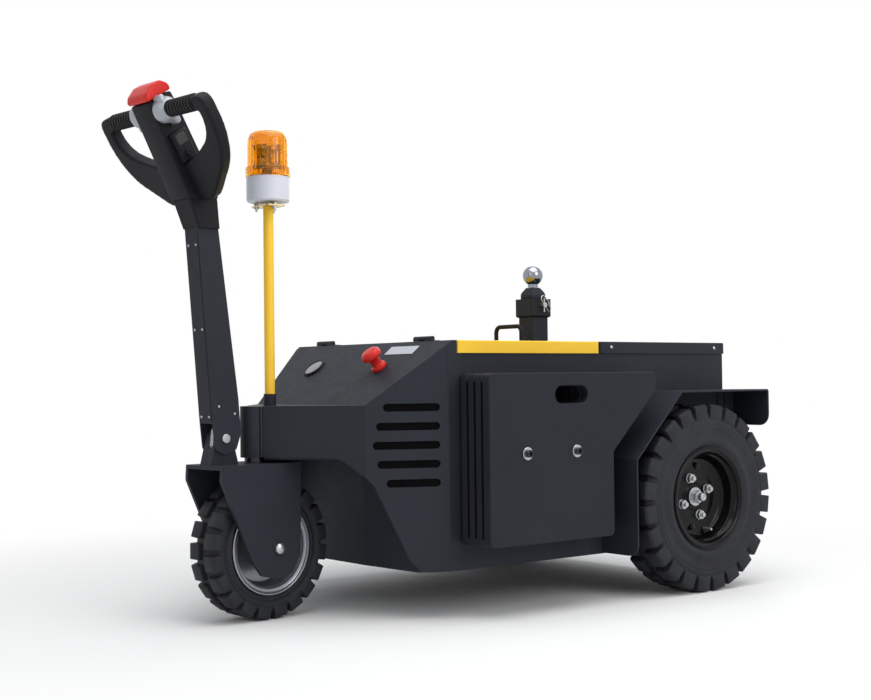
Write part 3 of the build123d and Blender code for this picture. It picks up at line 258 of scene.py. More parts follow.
def make_finishes(colours):
    """All finishes by the record's material slot, each from its colour, roughness, grain, bump and bump depth."""
    body, plates, red = tuple(colours.body), tuple(colours.plates), tuple(colours.warning)
    made = {
        "body_black": finish(body, 0.6, 1400, 0.5, 0.00025, tone=0.08, shine=0.2),
        "lid_yellow": finish(tuple(colours.lid), 0.42, 1400, 0.35, 0.0002, tone=0.05),
        "ballast_black": finish(plates, 0.54, 1100, 0.45, 0.00025, tone=0.09, shine=0.17),
        "tyre_black": finish(tuple(colours.rubber), 0.62, 420, 0.5, 0.0004, tone=0.25, cloud=14),
        "rim_black": finish((0.0035, 0.0036, 0.0042), 0.14, 300, 0.06, 0.0002, shine=0.16),
        "rim_silver": finish((0.3, 0.31, 0.35), 0.3, 700, 0.2, 0.0002, tone=0.07, metal=0.75),
        "zinc": finish((0.46, 0.47, 0.48), 0.3, 500, 0.15, 0.0001, tone=0.12, metal=0.9, cloud=40),
        "chrome": finish((0.27, 0.28, 0.32), 0.1, 200, 0.02, 0.0001, tone=0.03, metal=1),
        "plastic_black": finish((0.0105, 0.011, 0.0135), 0.5, 1800, 0.5, 0.0002, shine=0.12),
        "sleeve_black": finish((0.015, 0.0165, 0.0215), 0.42, 900, 0.4, 0.0002, shine=0.15),
        "grip_rubber": finish((0.013, 0.013, 0.014), 0.62, 1500, 0.4, 0.0002),
        "throttle_silver": finish((0.36, 0.38, 0.42), 0.32, 1200, 0.2, 0.0001, tone=0.04, metal=0.35),
        "red_plastic": finish(red, 0.34, 900, 0.15, 0.0001, tone=0.06),
        "white_plastic": finish((0.66, 0.68, 0.76), 0.4, 900, 0.2, 0.0001, tone=0.02),
        "lamp_white": finish((0.34, 0.3, 0.24), 0.3, 600, 0.1, 0.0001, tone=0.03),
        "battery_case": finish((0.02, 0.022, 0.028), 0.5, 600, 0.4, 0.0002),
        "amber_glass": clear_plastic(tuple(colours.lens), 0.03),
        # finishes that no slot of the record names
        "zinc_yellow": finish((0.55, 0.44, 0.2), 0.28, 500, 0.15, 0.0001, tone=0.18, metal=0.9, cloud=50),
        "screw_black": finish((0.045, 0.045, 0.05), 0.25, 500, 0.1, 0.0001, metal=0.8),
        # near-black, matte and nearly without gloss: painted shade for the sheets behind the louvres and in the gaps
        # between the ballast plates
        "painted_shade_black": finish((0.0025, 0.0025, 0.003), 0.8, 700, 0.4, 0.0003, shine=0.05),
        "label_silver": finish((0.5, 0.53, 0.6), 0.3, 500, 0.1, 0.0001, tone=0.04, metal=0.6, stretch=(1, 12, 1)),
        "gauge_grey": finish((0.16, 0.17, 0.18), 0.22, 500, 0.05, 0.0001, tone=0.06, coat=0.6),
        "screen_black": finish((0.006, 0.006, 0.007), 0.1, 300, 0.02, 0.0001, coat=0.8),
        "weld_bead": finish((0.024, 0.026, 0.031), 0.4, 700, 0.6, 0.0004, tone=0.2),
    }
    for name, material in made.items():
        material.name = name
    return made


FINISHES = {}
# nodes whose finish is not that of their slot
SHOWN_AS = {"beacon_bracket": "zinc_yellow", "steering_shaft": "screw_black"}


# Modelling helpers: each adds one primitive and shapes it in edit mode


def deselect():
    """Back to object mode with nothing selected, since operators act on all that is selected."""
    if bpy.context.object is not None and bpy.context.object.mode != "OBJECT":
        bpy.ops.object.mode_set(mode="OBJECT")
    bpy.ops.object.select_all(action="DESELECT")


def pick(piece):
    """Selects one piece and makes it active."""
    deselect()
    piece.select_set(True)
    bpy.context.view_layer.objects.active = piece


def select_mesh():
    """Selects all of the mesh in edit mode."""
    bpy.ops.mesh.select_all(action="SELECT")


def seat(piece, where):
    """Puts a piece at its place and applies that to its mesh."""
    pick(piece)
    piece.matrix_world = where @ piece.matrix_world
    bpy.ops.object.transform_apply(location=True, rotation=True, scale=True)
    return piece


def drawn(points):
    """A line of edges through points, in edit mode, begun from a plane merged to one vertex."""
    deselect()
    bpy.ops.mesh.primitive_plane_add(size=0.01)
    bpy.ops.object.mode_set(mode="EDIT")
    select_mesh()
    bpy.ops.mesh.merge(type="CENTER")
    bpy.ops.transform.translate(value=points[0])
    for before, after in zip(points, points[1:]):
        step = tuple(b - a for a, b in zip(before, after))
        bpy.ops.mesh.extrude_vertices_move(TRANSFORM_OT_translate={"value": step})
    return bpy.context.object


def closed(piece, name, where, sharp):
    """Ends a piece in edit mode: normals out, edges above sharp degrees kept crisp, its name and its place."""
    select_mesh()
    bpy.ops.mesh.normals_make_consistent(inside=False)
    bpy.ops.object.mode_set(mode="OBJECT")
    bpy.ops.object.shade_smooth_by_angle(angle=math.radians(sharp))
    piece.name = name
    return seat(piece, where)


def turned(name, profile, where=HERE, segments=48, sharp=32, sweep=360.0):
    """A turned piece from (radius, height) points round its own Z."""
    piece = drawn([(r, 0.0, z) for r, z in profile])
    select_mesh()
    bpy.ops.mesh.spin(steps=segments, angle=math.radians(sweep), center=(0, 0, 0), axis=(0, 0, 1))
    select_mesh()
    bpy.ops.mesh.remove_doubles(threshold=SAME_POINT)
    bpy.ops.mesh.dissolve_degenerate(threshold=NO_AREA)
    return closed(piece, name, where, sharp)


def outlined(name, outline, thick, where, bevel=0.0, steps=2, sharp=32):
    """A plate from an outline of (x, y) points, thick along its own Z, its edges bevelled in steps."""
    piece = drawn([(x, y, -thick / 2) for x, y in outline])
    select_mesh()
    bpy.ops.mesh.edge_face_add()
    bpy.ops.mesh.extrude_region_move(TRANSFORM_OT_translate={"value": (0, 0, thick)})
    if bevel > 0:
        select_mesh()
        bpy.ops.mesh.bevel(offset=bevel, segments=steps, affect="EDGES")
        select_mesh()
        bpy.ops.mesh.remove_doubles(threshold=SAME_POINT)
    return closed(piece, name, where, sharp)


def rounded_outline(corners, steps=6):
    """Outline of (x, y, reach) corners, each rounded over its reach."""
    outline = []
    for k, (x, y, reach) in enumerate(corners):
        at = Vector((x, y))
        if reach == 0:
            outline.append((x, y))
            continue
        start = at + (Vector(corners[k - 1][:2]) - at).normalized() * reach
        end = at + (Vector(corners[(k + 1) % len(corners)][:2]) - at).normalized() * reach
        for step in range(steps + 1):
            t = step / steps
            outline.append(tuple(start * (1 - t) ** 2 + at * (2 * t * (1 - t)) + end * t ** 2))
    return outline


def block(name, size, where, bevel=0.001, steps=2):
    """A bevelled block."""
    half_x, half_y = size[0] / 2, size[1] / 2
    corners = [(-half_x, -half_y), (half_x, -half_y), (half_x, half_y), (-half_x, half_y)]
    return outlined(name, corners, size[2], where, bevel, steps)


def wire(name, points, radius):
    """A bent wire along points, capped at both ends."""
    deselect()
    bpy.ops.curve.primitive_nurbs_path_add()
    piece = bpy.context.object
    line = piece.data.splines[0]
    line.points.add(len(points) - len(line.points))
    for point, at in zip(line.points, points):
        point.co = (*at, 1)
    line.order_u = 3
    line.use_endpoint_u = True
    line.resolution_u = 6
    piece.data.bevel_depth = radius
    piece.data.bevel_resolution = 3
    piece.data.use_fill_caps = True
    bpy.ops.object.convert(target="MESH")
    bpy.ops.object.shade_smooth_by_angle(angle=math.radians(50))
    piece = bpy.context.object
    piece.name = name
    return seat(piece, HERE)


def modified(piece, kind, **settings):
    """Adds a modifier to a piece and applies it."""
    pick(piece)
    added = piece.modifiers.new(kind, kind)
    for setting, value in settings.items():
        setattr(added, setting, value)
    bpy.ops.object.modifier_apply(modifier=added.name)


def coiled(name, wire_r, coil_r, pitch, turns, where):
    """A coil spring round its own Z."""
    deselect()
    bpy.ops.mesh.primitive_circle_add(
        vertices=8, radius=wire_r, location=(coil_r, 0, 0), rotation=(math.pi / 2, 0, 0))
    piece = bpy.context.object
    bpy.ops.object.transform_apply(location=True, rotation=True, scale=True)
    modified(piece, "SCREW", axis="Z", angle=2 * math.pi, screw_offset=pitch, iterations=turns, steps=14,
             render_steps=14, use_merge_vertices=True)
    bpy.ops.object.mode_set(mode="EDIT")
    bpy.ops.mesh.select_all(action="DESELECT")
    bpy.ops.mesh.select_mode(type="EDGE")
    bpy.ops.mesh.select_non_manifold()
    bpy.ops.mesh.edge_face_add()
    bpy.ops.mesh.select_mode(type="VERT")
    return closed(piece, name, where, 60.0)


def joined(name, pieces):
    """Several meshes as one object."""
    deselect()
    for piece in pieces:
        piece.select_set(True)
    bpy.context.view_layer.objects.active = pieces[0]
    if len(pieces) > 1:
        bpy.ops.object.join()
    whole = bpy.context.object
    whole.name = name
    return whole


def repeated(name, master, places):
    """One small piece copied to each place and joined; the master itself goes."""
    copies = []
    for where in places:
        copy = master.copy()
        copy.data = master.data.copy()
        bpy.context.scene.collection.objects.link(copy)
        copy.data.transform(where)
        copies.append(copy)
    bpy.data.objects.remove(master)
    return joined(name, copies)


def dress(piece, slot, body="chassis", finish_name=None):
    """Gives a piece its finish, that of its slot or the finish named, and the body it rides on."""
    piece.data.materials.clear()
    piece.data.materials.append(FINISHES[finish_name or slot])
    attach(piece, body)
    return piece


def screw_head(radius):
    """A button-head screw with a hex socket, standing on Z."""
    high = radius * 0.62
    shares = ((0, 0.35), (0.42, 0.35), (0.46, 0.98), (0.62, 0.94), (0.84, 0.72), (0.97, 0.38), (1, 0), (0, 0))
    profile = [(radius * across, high * up) for across, up in shares]
    return turned("screw_head", profile, segments=18, sharp=40)


# Tyres


def tyre_carcass(half, outer, rim_r, tread):
    """Closed (radius, axial) section of a tyre without its lugs, with moulded rings on the walls."""
    base = outer - tread
    wall = base - rim_r
    # share of the wall's height and how far in from the widest point, in millimetres
    rings = (
        (0.1, 2.2), (0.16, 0.6), (0.22, 1), (0.28, 2.8), (0.34, 4), (0.44, 3.4), (0.54, 1.2), (0.57, 2.2), (0.6, 2.2),
        (0.63, 1), (0.74, 3), (0.86, 7.5), (0.96, 15),
    )
    side = [(rim_r - 0.0115, half - 0.0075), (rim_r + 0.001, half - 0.0068), (rim_r + 0.006, half - 0.004)]
    side += [(rim_r + share * wall, half - inset / 1000) for share, inset in rings]
    side += [(base, half - 0.026), (base + 0.001, 0.0)]
    return mirrored(side[:-1], [side[-1]]) + [side[0]]


def tyre_lug(name, way, half, outer, tread, width):
    """One tread block: a section across the tyre, thick round it, its edges bevelled."""
    flat = math.sqrt(outer ** 2 - (width / 2) ** 2)
    section = [
        (outer - 3.1 * tread, half - 0.0035), (outer - 2.4 * tread, half - 0.0004),
        (flat - 0.45 * tread, half - 0.0002), (flat - 0.06 * tread, half - 0.0055), (flat, half * 0.62),
        (flat, half * 0.2),
        (outer - 1.5 * tread, half * 0.17), (outer - 1.7 * tread, half * 0.6), (outer - 3.1 * tread, half * 0.84),
    ]
    section = [(r, way * z) for r, z in section]
    across = Matrix(((1, 0, 0, 0), (0, 0, -1, 0), (0, 1, 0, 0), (0, 0, 0, 1)))
    return outlined(name, section, width, across, bevel=0.0016, sharp=35)


def make_tyre(name, where, sizes, tread, body):
    """A whole tyre that stands for the node of its name."""
    half, outer, rim_r, lugs = sizes
    pieces = [turned(name + "_carcass", tyre_carcass(half, outer, rim_r, tread), where, segments=96, sharp=30)]
    width = 2 * math.pi * outer / lugs * 0.7
    for way in (1, -1):
        lug = tyre_lug(name + "_lug", way, half, outer, tread, width)
        turns = [Matrix.Rotation(2 * math.pi * (k + (way + 1) / 4) / lugs, 4, "Z") for k in range(lugs)]
        pieces.append(repeated(name + "_lugs", lug, [where @ turn for turn in turns]))
    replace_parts(dress(joined(name + "_tread", pieces), "tyre_black", body), name)


class TRACTOR_OT_rear_tyres(bpy.types.Operator):
    """Rear tyres with moulded walls and block tread"""

    bl_idname = "tractor.rear_tyres"
    bl_label = "Rear tyres"

    def execute(self, context):
        tread = context.scene.tractor_sizes.tread_depth
        for side, way in SIDES:
            make_tyre("rear_tyre_" + side, on_rear_wheel(way), REAR_TYRE, tread, "rear_wheel_" + side)
        return {"FINISHED"}


class TRACTOR_OT_front_tyre(bpy.types.Operator):
    """Front tyre with moulded walls and block tread"""

    bl_idname = "tractor.front_tyre"
    bl_label = "Front tyre"

    def execute(self, context):
        tread = context.scene.tractor_sizes.front_tread_depth
        make_tyre("front_tyre", place(FRONT_WHEEL, LEFT), FRONT_TYRE, tread, "front_wheel")
        return {"FINISHED"}


class TRACTOR_OT_rim_details(bpy.types.Operator):
    """Rim split bolts, valves and the front axle's domed ends"""

    bl_idname = "tractor.rim_details"
    bl_label = "Rim details"

    def execute(self, context):
        nut = mm([(0, 0), (6.2, 0), (6.4, 0.6), (6.4, 4.2), (5.6, 5), (3.6, 5), (3.4, 7.8), (0, 8.2)])
        valve = mm([(0, 0), (4.2, 0), (4.2, 6), (3.4, 8), (3.4, 22), (2.6, 23.5), (0, 23.5)])
        dome = mm([(0, 0), (11.2, 0), (11.2, 1.2), (10, 3), (7, 4.6), (3.5, 5.3), (0, 5.5)])
        disc_face, axle_end = 0.0011, 0.0673
        for side, way in SIDES:
            disc = on_rear_wheel(way, disc_face)
            master = turned("split_bolt", nut, segments=6, sharp=20)
            bolts = repeated("split_bolts_" + side, master, around(disc, 0.068, (-7, 172)))
            dress(bolts, "zinc", "rear_wheel_" + side, "screw_black")
            stem = turned("valve_" + side, valve, around(disc, 0.078, [200], 0.003)[0], segments=16)
            dress(stem, "zinc", "rear_wheel_" + side)
            ends = place(FRONT_WHEEL + LEFT * (way * axle_end), LEFT * way)
            cap = turned("front_axle_cap_" + side, dome, ends, segments=32, sharp=45)
            dress(cap, "zinc", "steering")
        return {"FINISHED"}


class TRACTOR_OT_rear_rims(bpy.types.Operator):
    """Deep-dish rear rims with rolled lips, their hubs and washers under the nuts"""

    bl_idname = "tractor.rear_rims"
    bl_label = "Rear rims"

    def execute(self, context):
        dish = mm([
            (100.3, 43.5), (111.8, 43.7), (113.2, 44.8), (113.4, 46.4), (112.2, 47.7), (109, 48), (105.2, 47),
            (102.2, 44.8), (100.2, 41.2), (98.5, 36.8), (96.2, 33.6), (93.4, 31.8), (92.2, 30), (91.8, 26.2),
            (91.4, 19), (90, 11.8), (86.8, 6.2), (81.2, 3), (76, 2.2), (74.2, 1.2), (62, 1), (31, 1), (31, -5),
            (90, -5), (93.6, -9), (95.8, -44), (103, -47), (109.2, -48), (113, -46.4), (112, -44), (100.3, -43.5),
            (100.3, 43.5),
        ])
        hub = mm([
            (15.2, -42), (30, -42), (30, -13.5), (58, -13.5), (58, -5.3), (30.4, -5.3), (30, 1.2), (28.6, 2.2),
            (15.2, 2.2), (15.2, -42),
        ])
        washer = mm([(5.2, 0), (10.8, 0), (11.2, 0.4), (11.2, 1.6), (10.8, 2), (5.2, 2), (5.2, 0)])
        for side, way in SIDES:
            where = on_rear_wheel(way)
            body = "rear_wheel_" + side
            rim = turned("rear_dish_" + side, dish, where, segments=96, sharp=42)
            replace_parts(dress(rim, "rim_black", body), "rear_rim_" + side)
            boss = turned("rear_boss_" + side, hub, where, sharp=35)
            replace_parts(dress(boss, "rim_black", body), "rear_hub_" + side)
            under_nuts = around(where, 0.044, (20, 110, 200, 290), 0.001)
            master = turned("nut_washer", washer, segments=24)
            dress(repeated("nut_washers_" + side, master, under_nuts), "zinc", body)
        return {"FINISHED"}


class TRACTOR_OT_front_rim(bpy.types.Operator):
    """Silver front rim with a rolled lip, and the pin of the tiller's pivot"""

    bl_idname = "tractor.front_rim"
    bl_label = "Front rim"

    def execute(self, context):
        half = mm([
            (8.3, 50), (20, 50), (22, 48), (22, 6), (70, 4), (74.5, 8), (76.5, 16), (77.5, 27), (80, 31.2),
            (83.6, 33.4), (84.8, 35.6), (86.2, 36.6), (88.5, 37), (90.2, 38.4), (90.8, 40.2), (92.2, 41.3),
            (94, 41.3), (95.2, 40), (95, 38.6), (92.5, 37.4), (83.2, 36.4), (82.8, 30),
        ])
        section = mirrored(half) + [half[0]]
        rim = turned("front_rim_lip", section, place(FRONT_WHEEL, LEFT), segments=96, sharp=36)
        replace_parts(dress(rim, "rim_silver", "front_wheel"), "front_rim")
        end = mm([(7.9, 22.6), (8.8, 22.6), (9.2, 23.2), (9.2, 25.6), (8.4, 26.6), (0, 27)])
        pin = [(r, -y) for r, y in reversed(end)] + end
        pivot = turned("tiller_pin", pin, place(in_steering(*TILLER_PIVOT), LEFT), segments=32)
        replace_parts(dress(pivot, "zinc", "steering"), "tiller_pivot")
        return {"FINISHED"}


class TRACTOR_OT_axle_ends(bpy.types.Operator):
    """Axle housing with flanges, and the zinc nuts on its ends"""

    bl_idname = "tractor.axle_ends"
    bl_label = "Axle ends"

    def execute(self, context):
        middle = Vector((REAR_WHEEL.x, 0, REAR_WHEEL.z))
        half = mm([(0, 330), (15, 330), (15, 292), (38.5, 292), (40, 290.5), (40, 94), (76, 90), (80, 86)])
        pieces = [turned("housing", mirrored(half), place(middle, (0, 1, 0)), sharp=35)]
        flange_out = 0.2833
        for way in (1, -1):
            flange = place(middle + Vector((0, way * flange_out, 0)), (0, way, 0))
            pieces.append(block("flange", (0.116, 0.116, 0.008), flange, bevel=0.0012))
        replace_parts(dress(joined("axle_housing", pieces), "body_black"), "rear_axle")
        washer = mm([(0, 3), (20.5, 3), (21, 3.5), (21, 5.5), (20.5, 6), (0, 6)])
        nut = mm([(0, 6), (14, 6), (14.6, 6.6), (14.6, 16.8), (13.8, 17.8), (0, 17.8)])
        end = mm([(0, 17.8), (9, 17.8), (9, 29), (7.8, 30), (4, 30), (3, 28.4), (0, 28)])
        for side, way in SIDES:
            where = on_rear_wheel(way)
            pieces = [turned("axle_washer", washer, where, segments=36), turned("axle_nut", nut, where, 6, 20.0),
                      turned("axle_end", end, where, segments=32)]
            dress(joined("axle_nut_" + side, pieces), "zinc")
        return {"FINISHED"}


class TRACTOR_OT_tiller_grips(bpy.types.Operator):
    """Rounded handle loops and the two-winged throttles"""

    bl_idname = "tractor.tiller_grips"
    bl_label = "Handle loops and throttles"

    def execute(self, context):
        corners = [
            (24, 12, 0), (64, 1, 18), (153, 72, 32), (178, 132, 32), (177, 206, 24), (139, 206, 3), (139, 179, 0),
            (151, 179, 8), (151, 150, 18), (132, 122, 15), (80, 96, 24), (24, 82, 0),
        ]
        bow = mm(rounded_outline(corners))
        bow_thick = 0.0265
        foot = in_steering(0.131, 0, 0.828)
        bows = []
        for way in (1, -1):
            out = LEFT * way
            bows.append(outlined("handle_bow", bow, bow_thick, place(foot, out.cross(TILLER_LEAN), out)))
        loops = joined("handle_bows", bows)
        modified(loops, "REMESH", mode="VOXEL", voxel_size=0.002)
        modified(loops, "SMOOTH", factor=0.5, iterations=32)
        bpy.ops.object.shade_smooth()
        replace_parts(dress(loops, "plastic_black", "tiller"), "handle_loops")
        disc = mm([
            (0, 0), (22.5, 0), (25, 2), (25.6, 6), (25, 15), (22.8, 21.5), (19.5, 25.2), (17.8, 27), (17, 27.6),
            (0, 27.6),
        ])
        wing = mm([
            (-33, -4), (-29, -12), (-15, -12.5), (0, -10), (15, -3), (28, 0), (33, 4), (29, 12), (15, 12.5),
            (0, 10), (-15, 3), (-28, 0),
        ])
        wing_out, wing_thick = 0.0135, 0.025
        pieces = []
        for way in (1, -1):
            start = in_steering(0.23, way * 0.0305, 0.993)
            pieces.append(turned("throttle_disc", disc, place(start, LEFT * way, TILLER_LEAN), sharp=38))
            lobe = place(start + LEFT * (way * wing_out), LEFT * way, TILLER_LEAN)
            pieces.append(outlined("throttle_wing", wing, wing_thick, lobe, bevel=0.0035, steps=3, sharp=45))
        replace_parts(dress(joined("throttle_wings", pieces), "throttle_silver", "tiller"), "throttles")
        return {"FINISHED"}


class TRACTOR_OT_beacon(bpy.types.Operator):
    """Beacon lens with flutes inside, its reflector and lamp"""

    bl_idname = "tractor.beacon"
    bl_label = "Beacon"

    def execute(self, context):
        flute = context.scene.tractor_sizes.lens_flute
        where = place((BEACON_X, 0, 0))
        inner = mm([
            (24.5, 893.3), (37.2, 896.5), (38.6, 915), (38.1, 966), (35.8, 976.5), (30, 982.5), (18, 984.2),
            (0, 984.5),
        ])
        outer = mm([
            (0, 986.9), (19, 986.6), (30, 985), (37, 980), (40.5, 970), (41.3, 960), (41.9, 913), (44.8, 912.5),
            (45.9, 911), (45.9, 895), (45.2, 893.3),
        ])
        columns = 96
        lens = turned("beacon_lens", outer + inner, where, segments=columns, sharp=40)
        pick(lens)
        bpy.ops.object.mode_set(mode="EDIT")
        bpy.ops.mesh.select_all(action="DESELECT")
        bpy.ops.object.mode_set(mode="OBJECT")
        for vertex in lens.data.vertices:
            x, y, z = vertex.co.x - BEACON_X, vertex.co.y, vertex.co.z
            column = round(math.degrees(math.atan2(y, x)) * columns / 360)
            on_inner_wall = 0.0365 < math.hypot(x, y) < 0.0388 and 0.9 < z < 0.97
            vertex.select = on_inner_wall and column % 4 < 2
        bpy.ops.object.mode_set(mode="EDIT")
        inner_r = 0.038
        share = 1 - flute / inner_r
        bpy.ops.transform.resize(value=(share, share, 1), center_override=(BEACON_X, 0, 0.93))
        bpy.ops.object.mode_set(mode="OBJECT")
        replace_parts(dress(lens, "amber_glass"), "beacon_dome")
        stand = mm([
            (0, 893.5), (23.5, 893.5), (23.5, 897.5), (19, 900), (11, 901), (10.5, 915), (7, 917), (7, 922),
            (9.5, 926), (10.8, 934), (9.5, 943), (6, 950), (0, 952.5),
        ])
        bulb = turned("beacon_bulb", stand, where, segments=32, sharp=40)
        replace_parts(dress(bulb, "lamp_white"), "beacon_lamp")
        reflector_faces = Matrix.Rotation(math.radians(150), 4, "Z")
        mirror = mm([(30, 906), (25.5, 916), (22.5, 930), (23.5, 945), (27.5, 958)])
        shell = turned("beacon_reflector", mirror, where @ reflector_faces, segments=32, sharp=40, sweep=170.0)
        modified(shell, "SOLIDIFY", thickness=0.0012)
        dress(shell, "chrome")
        return {"FINISHED"}


class TRACTOR_OT_beacon_screws(bpy.types.Operator):
    """Screws and spacer nuts between the beacon and its bracket"""

    bl_idname = "tractor.beacon_screws"
    bl_label = "Beacon screws"

    def execute(self, context):
        circle_r, bracket_top, spacer_top = 0.024, 0.832, 0.8351
        turns = [math.radians(90 + 120 * k) for k in range(3)]
        centres = [Vector((BEACON_X + circle_r * math.cos(a), circle_r * math.sin(a), 0)) for a in turns]
        shank = mm([(0, -10), (2.1, -10), (2.3, -9.5), (2.3, -4), (5.2, -4), (5.2, 0), (0, 0)])
        master = turned("bracket_screw", shank, segments=14)
        screws = repeated("beacon_screws", master, [place(c + UP * bracket_top) for c in centres])
        dress(screws, "zinc")
        nut = mm([(3.1, 0), (5.6, 0), (5.8, 0.4), (5.8, 3.4), (5.6, 3.8), (3.1, 3.8), (3.1, 0)])
        master = turned("spacer_nut", nut, segments=6, sharp=20)
        nuts = repeated("beacon_spacer_nuts", master, [place(c + UP * spacer_top) for c in centres])
        dress(nuts, "zinc")
        return {"FINISHED"}


class TRACTOR_OT_arm_fasteners(bpy.types.Operator):
    """Cover strip, screws and rivets on the tiller arm and its collar"""

    bl_idname = "tractor.arm_fasteners"
    bl_label = "Tiller arm fasteners"

    def execute(self, context):
        low, high = Vector((0.116, 0.395)), Vector((0.1476, 0.777))
        lean = (high - low).normalized()
        face_normal = FORWARD * lean.y - UP * lean.x
        run = FORWARD * lean.x + UP * lean.y

        def on_face(up, left, above=0.0):
            share = (up - low.y) / (high.y - low.y)
            flat = low + (high - low) * share
            return place(in_steering(flat.x, left, flat.y) + face_normal * above, face_normal, run)

        middle = on_face(0.586, 0.0, 0.0004)
        strip = block("arm_cover", (0.374, 0.0385, 0.001), middle, bevel=0.0004, steps=1)
        dress(strip, "body_black", "tiller")
        radius = context.scene.tractor_sizes.screw_head
        spots = [on_face(up, left, 0.0008) for up in (0.408, 0.579, 0.744) for left in (-0.0125, 0.0125)]
        dress(repeated("arm_screws", screw_head(radius * 0.66), spots), "zinc", "tiller")
        cheek = 0.0225
        spots = [place(in_steering(forward, way * cheek, up), LEFT * way)
                 for way in (1, -1) for forward, up in ((0.101, 0.428), (0.0635, 0.413))]
        dress(repeated("arm_rivets", screw_head(radius * 0.66), spots), "zinc", "tiller")
        collar = [place(in_steering(0.1545, 0.0, 0.798), FORWARD * 0.914 - UP * 0.406)]
        dress(repeated("collar_screw", screw_head(radius * 0.8), collar), "zinc", "tiller")
        return {"FINISHED"}


class TRACTOR_OT_return_spring(bpy.types.Operator):
    """Return spring at the foot of the tiller arm"""

    bl_idname = "tractor.return_spring"
    bl_label = "Return spring"

    def execute(self, context):
        wire_r = context.scene.tractor_sizes.spring_wire
        low, high = in_steering(0.1085, 0.01, 0.352), in_steering(0.1045, 0.01, 0.386)
        axis = high - low
        coil_r, turns = 0.0045, 13
        spring = coiled("return_spring_coil", wire_r, coil_r, wire_r * 2.25, turns, place(low, axis))
        hook = wire("return_spring_hook", [
            low + Vector((coil_r, 0, 0)), low - UP * 0.004, low - UP * 0.01, low - UP * 0.016,
            low - UP * 0.02 - FORWARD * 0.006, low - UP * 0.0245 - FORWARD * 0.013], wire_r)
        dress(joined("return_spring", [spring, hook]), "zinc", "steering")
        return {"FINISHED"}


class TRACTOR_OT_stop_button(bpy.types.Operator):
    """Emergency stop mushroom with its collar"""

    bl_idname = "tractor.stop_button"
    bl_label = "Stop button"

    def execute(self, context):
        profile = mm([
            (0, -4), (10.8, -4), (10.8, 0.4), (16, 0.4), (16.6, 1.4), (16.6, 6), (15.8, 7.6), (13.6, 8.4),
            (11.8, 10), (11.2, 12.5), (11.2, 24), (12, 26.8), (15, 28.4), (19.6, 29.2), (20.9, 30.6), (21.3, 32.6),
            (21.1, 36.2), (19.8, 40), (17, 43), (12.5, 44.6), (6.5, 45.2), (0, 45.3),
        ])
        button = turned("stop_mushroom", profile, on_hood(0.2145, 0.127), sharp=38)
        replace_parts(dress(button, "red_plastic"), "stop_button")
        return {"FINISHED"}


class TRACTOR_OT_head_case(bpy.types.Operator):
    """Moulded case of the tiller head and the display box on its cheek"""

    bl_idname = "tractor.head_case"
    bl_label = "Head case"

    def execute(self, context):
        corners = [(104, 836, 0), (171, 830, 0), (262, 1003, 5), (214, 1034, 6), (192, 1000, 10), (122, 880, 10)]
        middle = Vector((0.18, 0.93))
        section = centred(mm(rounded_outline(corners, 3)), middle)
        case_wide = 0.064
        where = place(in_steering(middle.x, 0, middle.y), -LEFT, FORWARD)
        case = outlined("head_case", section, case_wide, where, bevel=0.003, steps=3, sharp=40)
        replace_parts(dress(case, "plastic_black", "tiller"), "tiller_head")
        at = place(in_steering(0.19, 0.0375, 0.93), LEFT, TILLER_LEAN)
        box = block("display_box", (0.06, 0.036, 0.013), at, bevel=0.0028, steps=3)
        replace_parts(dress(box, "plastic_black", "tiller"), "key_panel")
        return {"FINISHED"}


class TRACTOR_OT_reverse_button(bpy.types.Operator):
    """Rounded reverse button over the tip of the tiller head"""

    bl_idname = "tractor.reverse_button"
    bl_label = "Reverse button"

    def execute(self, context):
        section = mm([
            (262.8, 1004.2), (269.5, 1008), (269, 1020), (256, 1040), (240, 1050), (224, 1048), (216.5, 1042),
            (215.5, 1034.8),
        ])
        middle = Vector((0.241, 1.027))
        button_wide = 0.069
        where = place(in_steering(middle.x, 0, middle.y), -LEFT, FORWARD)
        button = outlined("reverse_button", centred(section, middle), button_wide, where, bevel=0.0035,
                          steps=3, sharp=40)
        modified(button, "SUBSURF", levels=1, render_levels=1)
        bpy.ops.object.shade_smooth_by_angle(angle=math.radians(50))
        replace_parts(dress(button, "red_plastic", "tiller"), "belly_button")
        return {"FINISHED"}


class TRACTOR_OT_gauge_face(bpy.types.Operator):
    """Battery gauge: rim and glossy face"""

    bl_idname = "tractor.gauge_face"
    bl_label = "Gauge face"

    def execute(self, context):
        where = on_hood(0.2125, -0.118, 0.0034)
        rim = mm([(21.2, 0), (25.6, 0), (25.6, 0.8), (24.6, 1.8), (22.8, 2), (21.6, 1.2), (21.2, 0)])
        dress(turned("gauge_rim", rim, where, segments=64, sharp=35), "plastic_black")
        face = mm([(0, 0), (21.4, 0), (21.4, 0.6), (15, 1.1), (0, 1.4)])
        dress(turned("gauge_face", face, where, segments=64, sharp=35), "plastic_black", "chassis", "gauge_grey")
        return {"FINISHED"}


class TRACTOR_OT_label_plate(bpy.types.Operator):
    """Bare label plate on the hood"""

    bl_idname = "tractor.label_plate"
    bl_label = "Label plate"

    def execute(self, context):
        where = on_hood(0.1698, 0.143, above=0.0005)
        plate = block("label_plate", (0.026, 0.094, 0.0008), where, bevel=0.0003, steps=1)
        dress(plate, "zinc", "chassis", "label_silver")
        return {"FINISHED"}


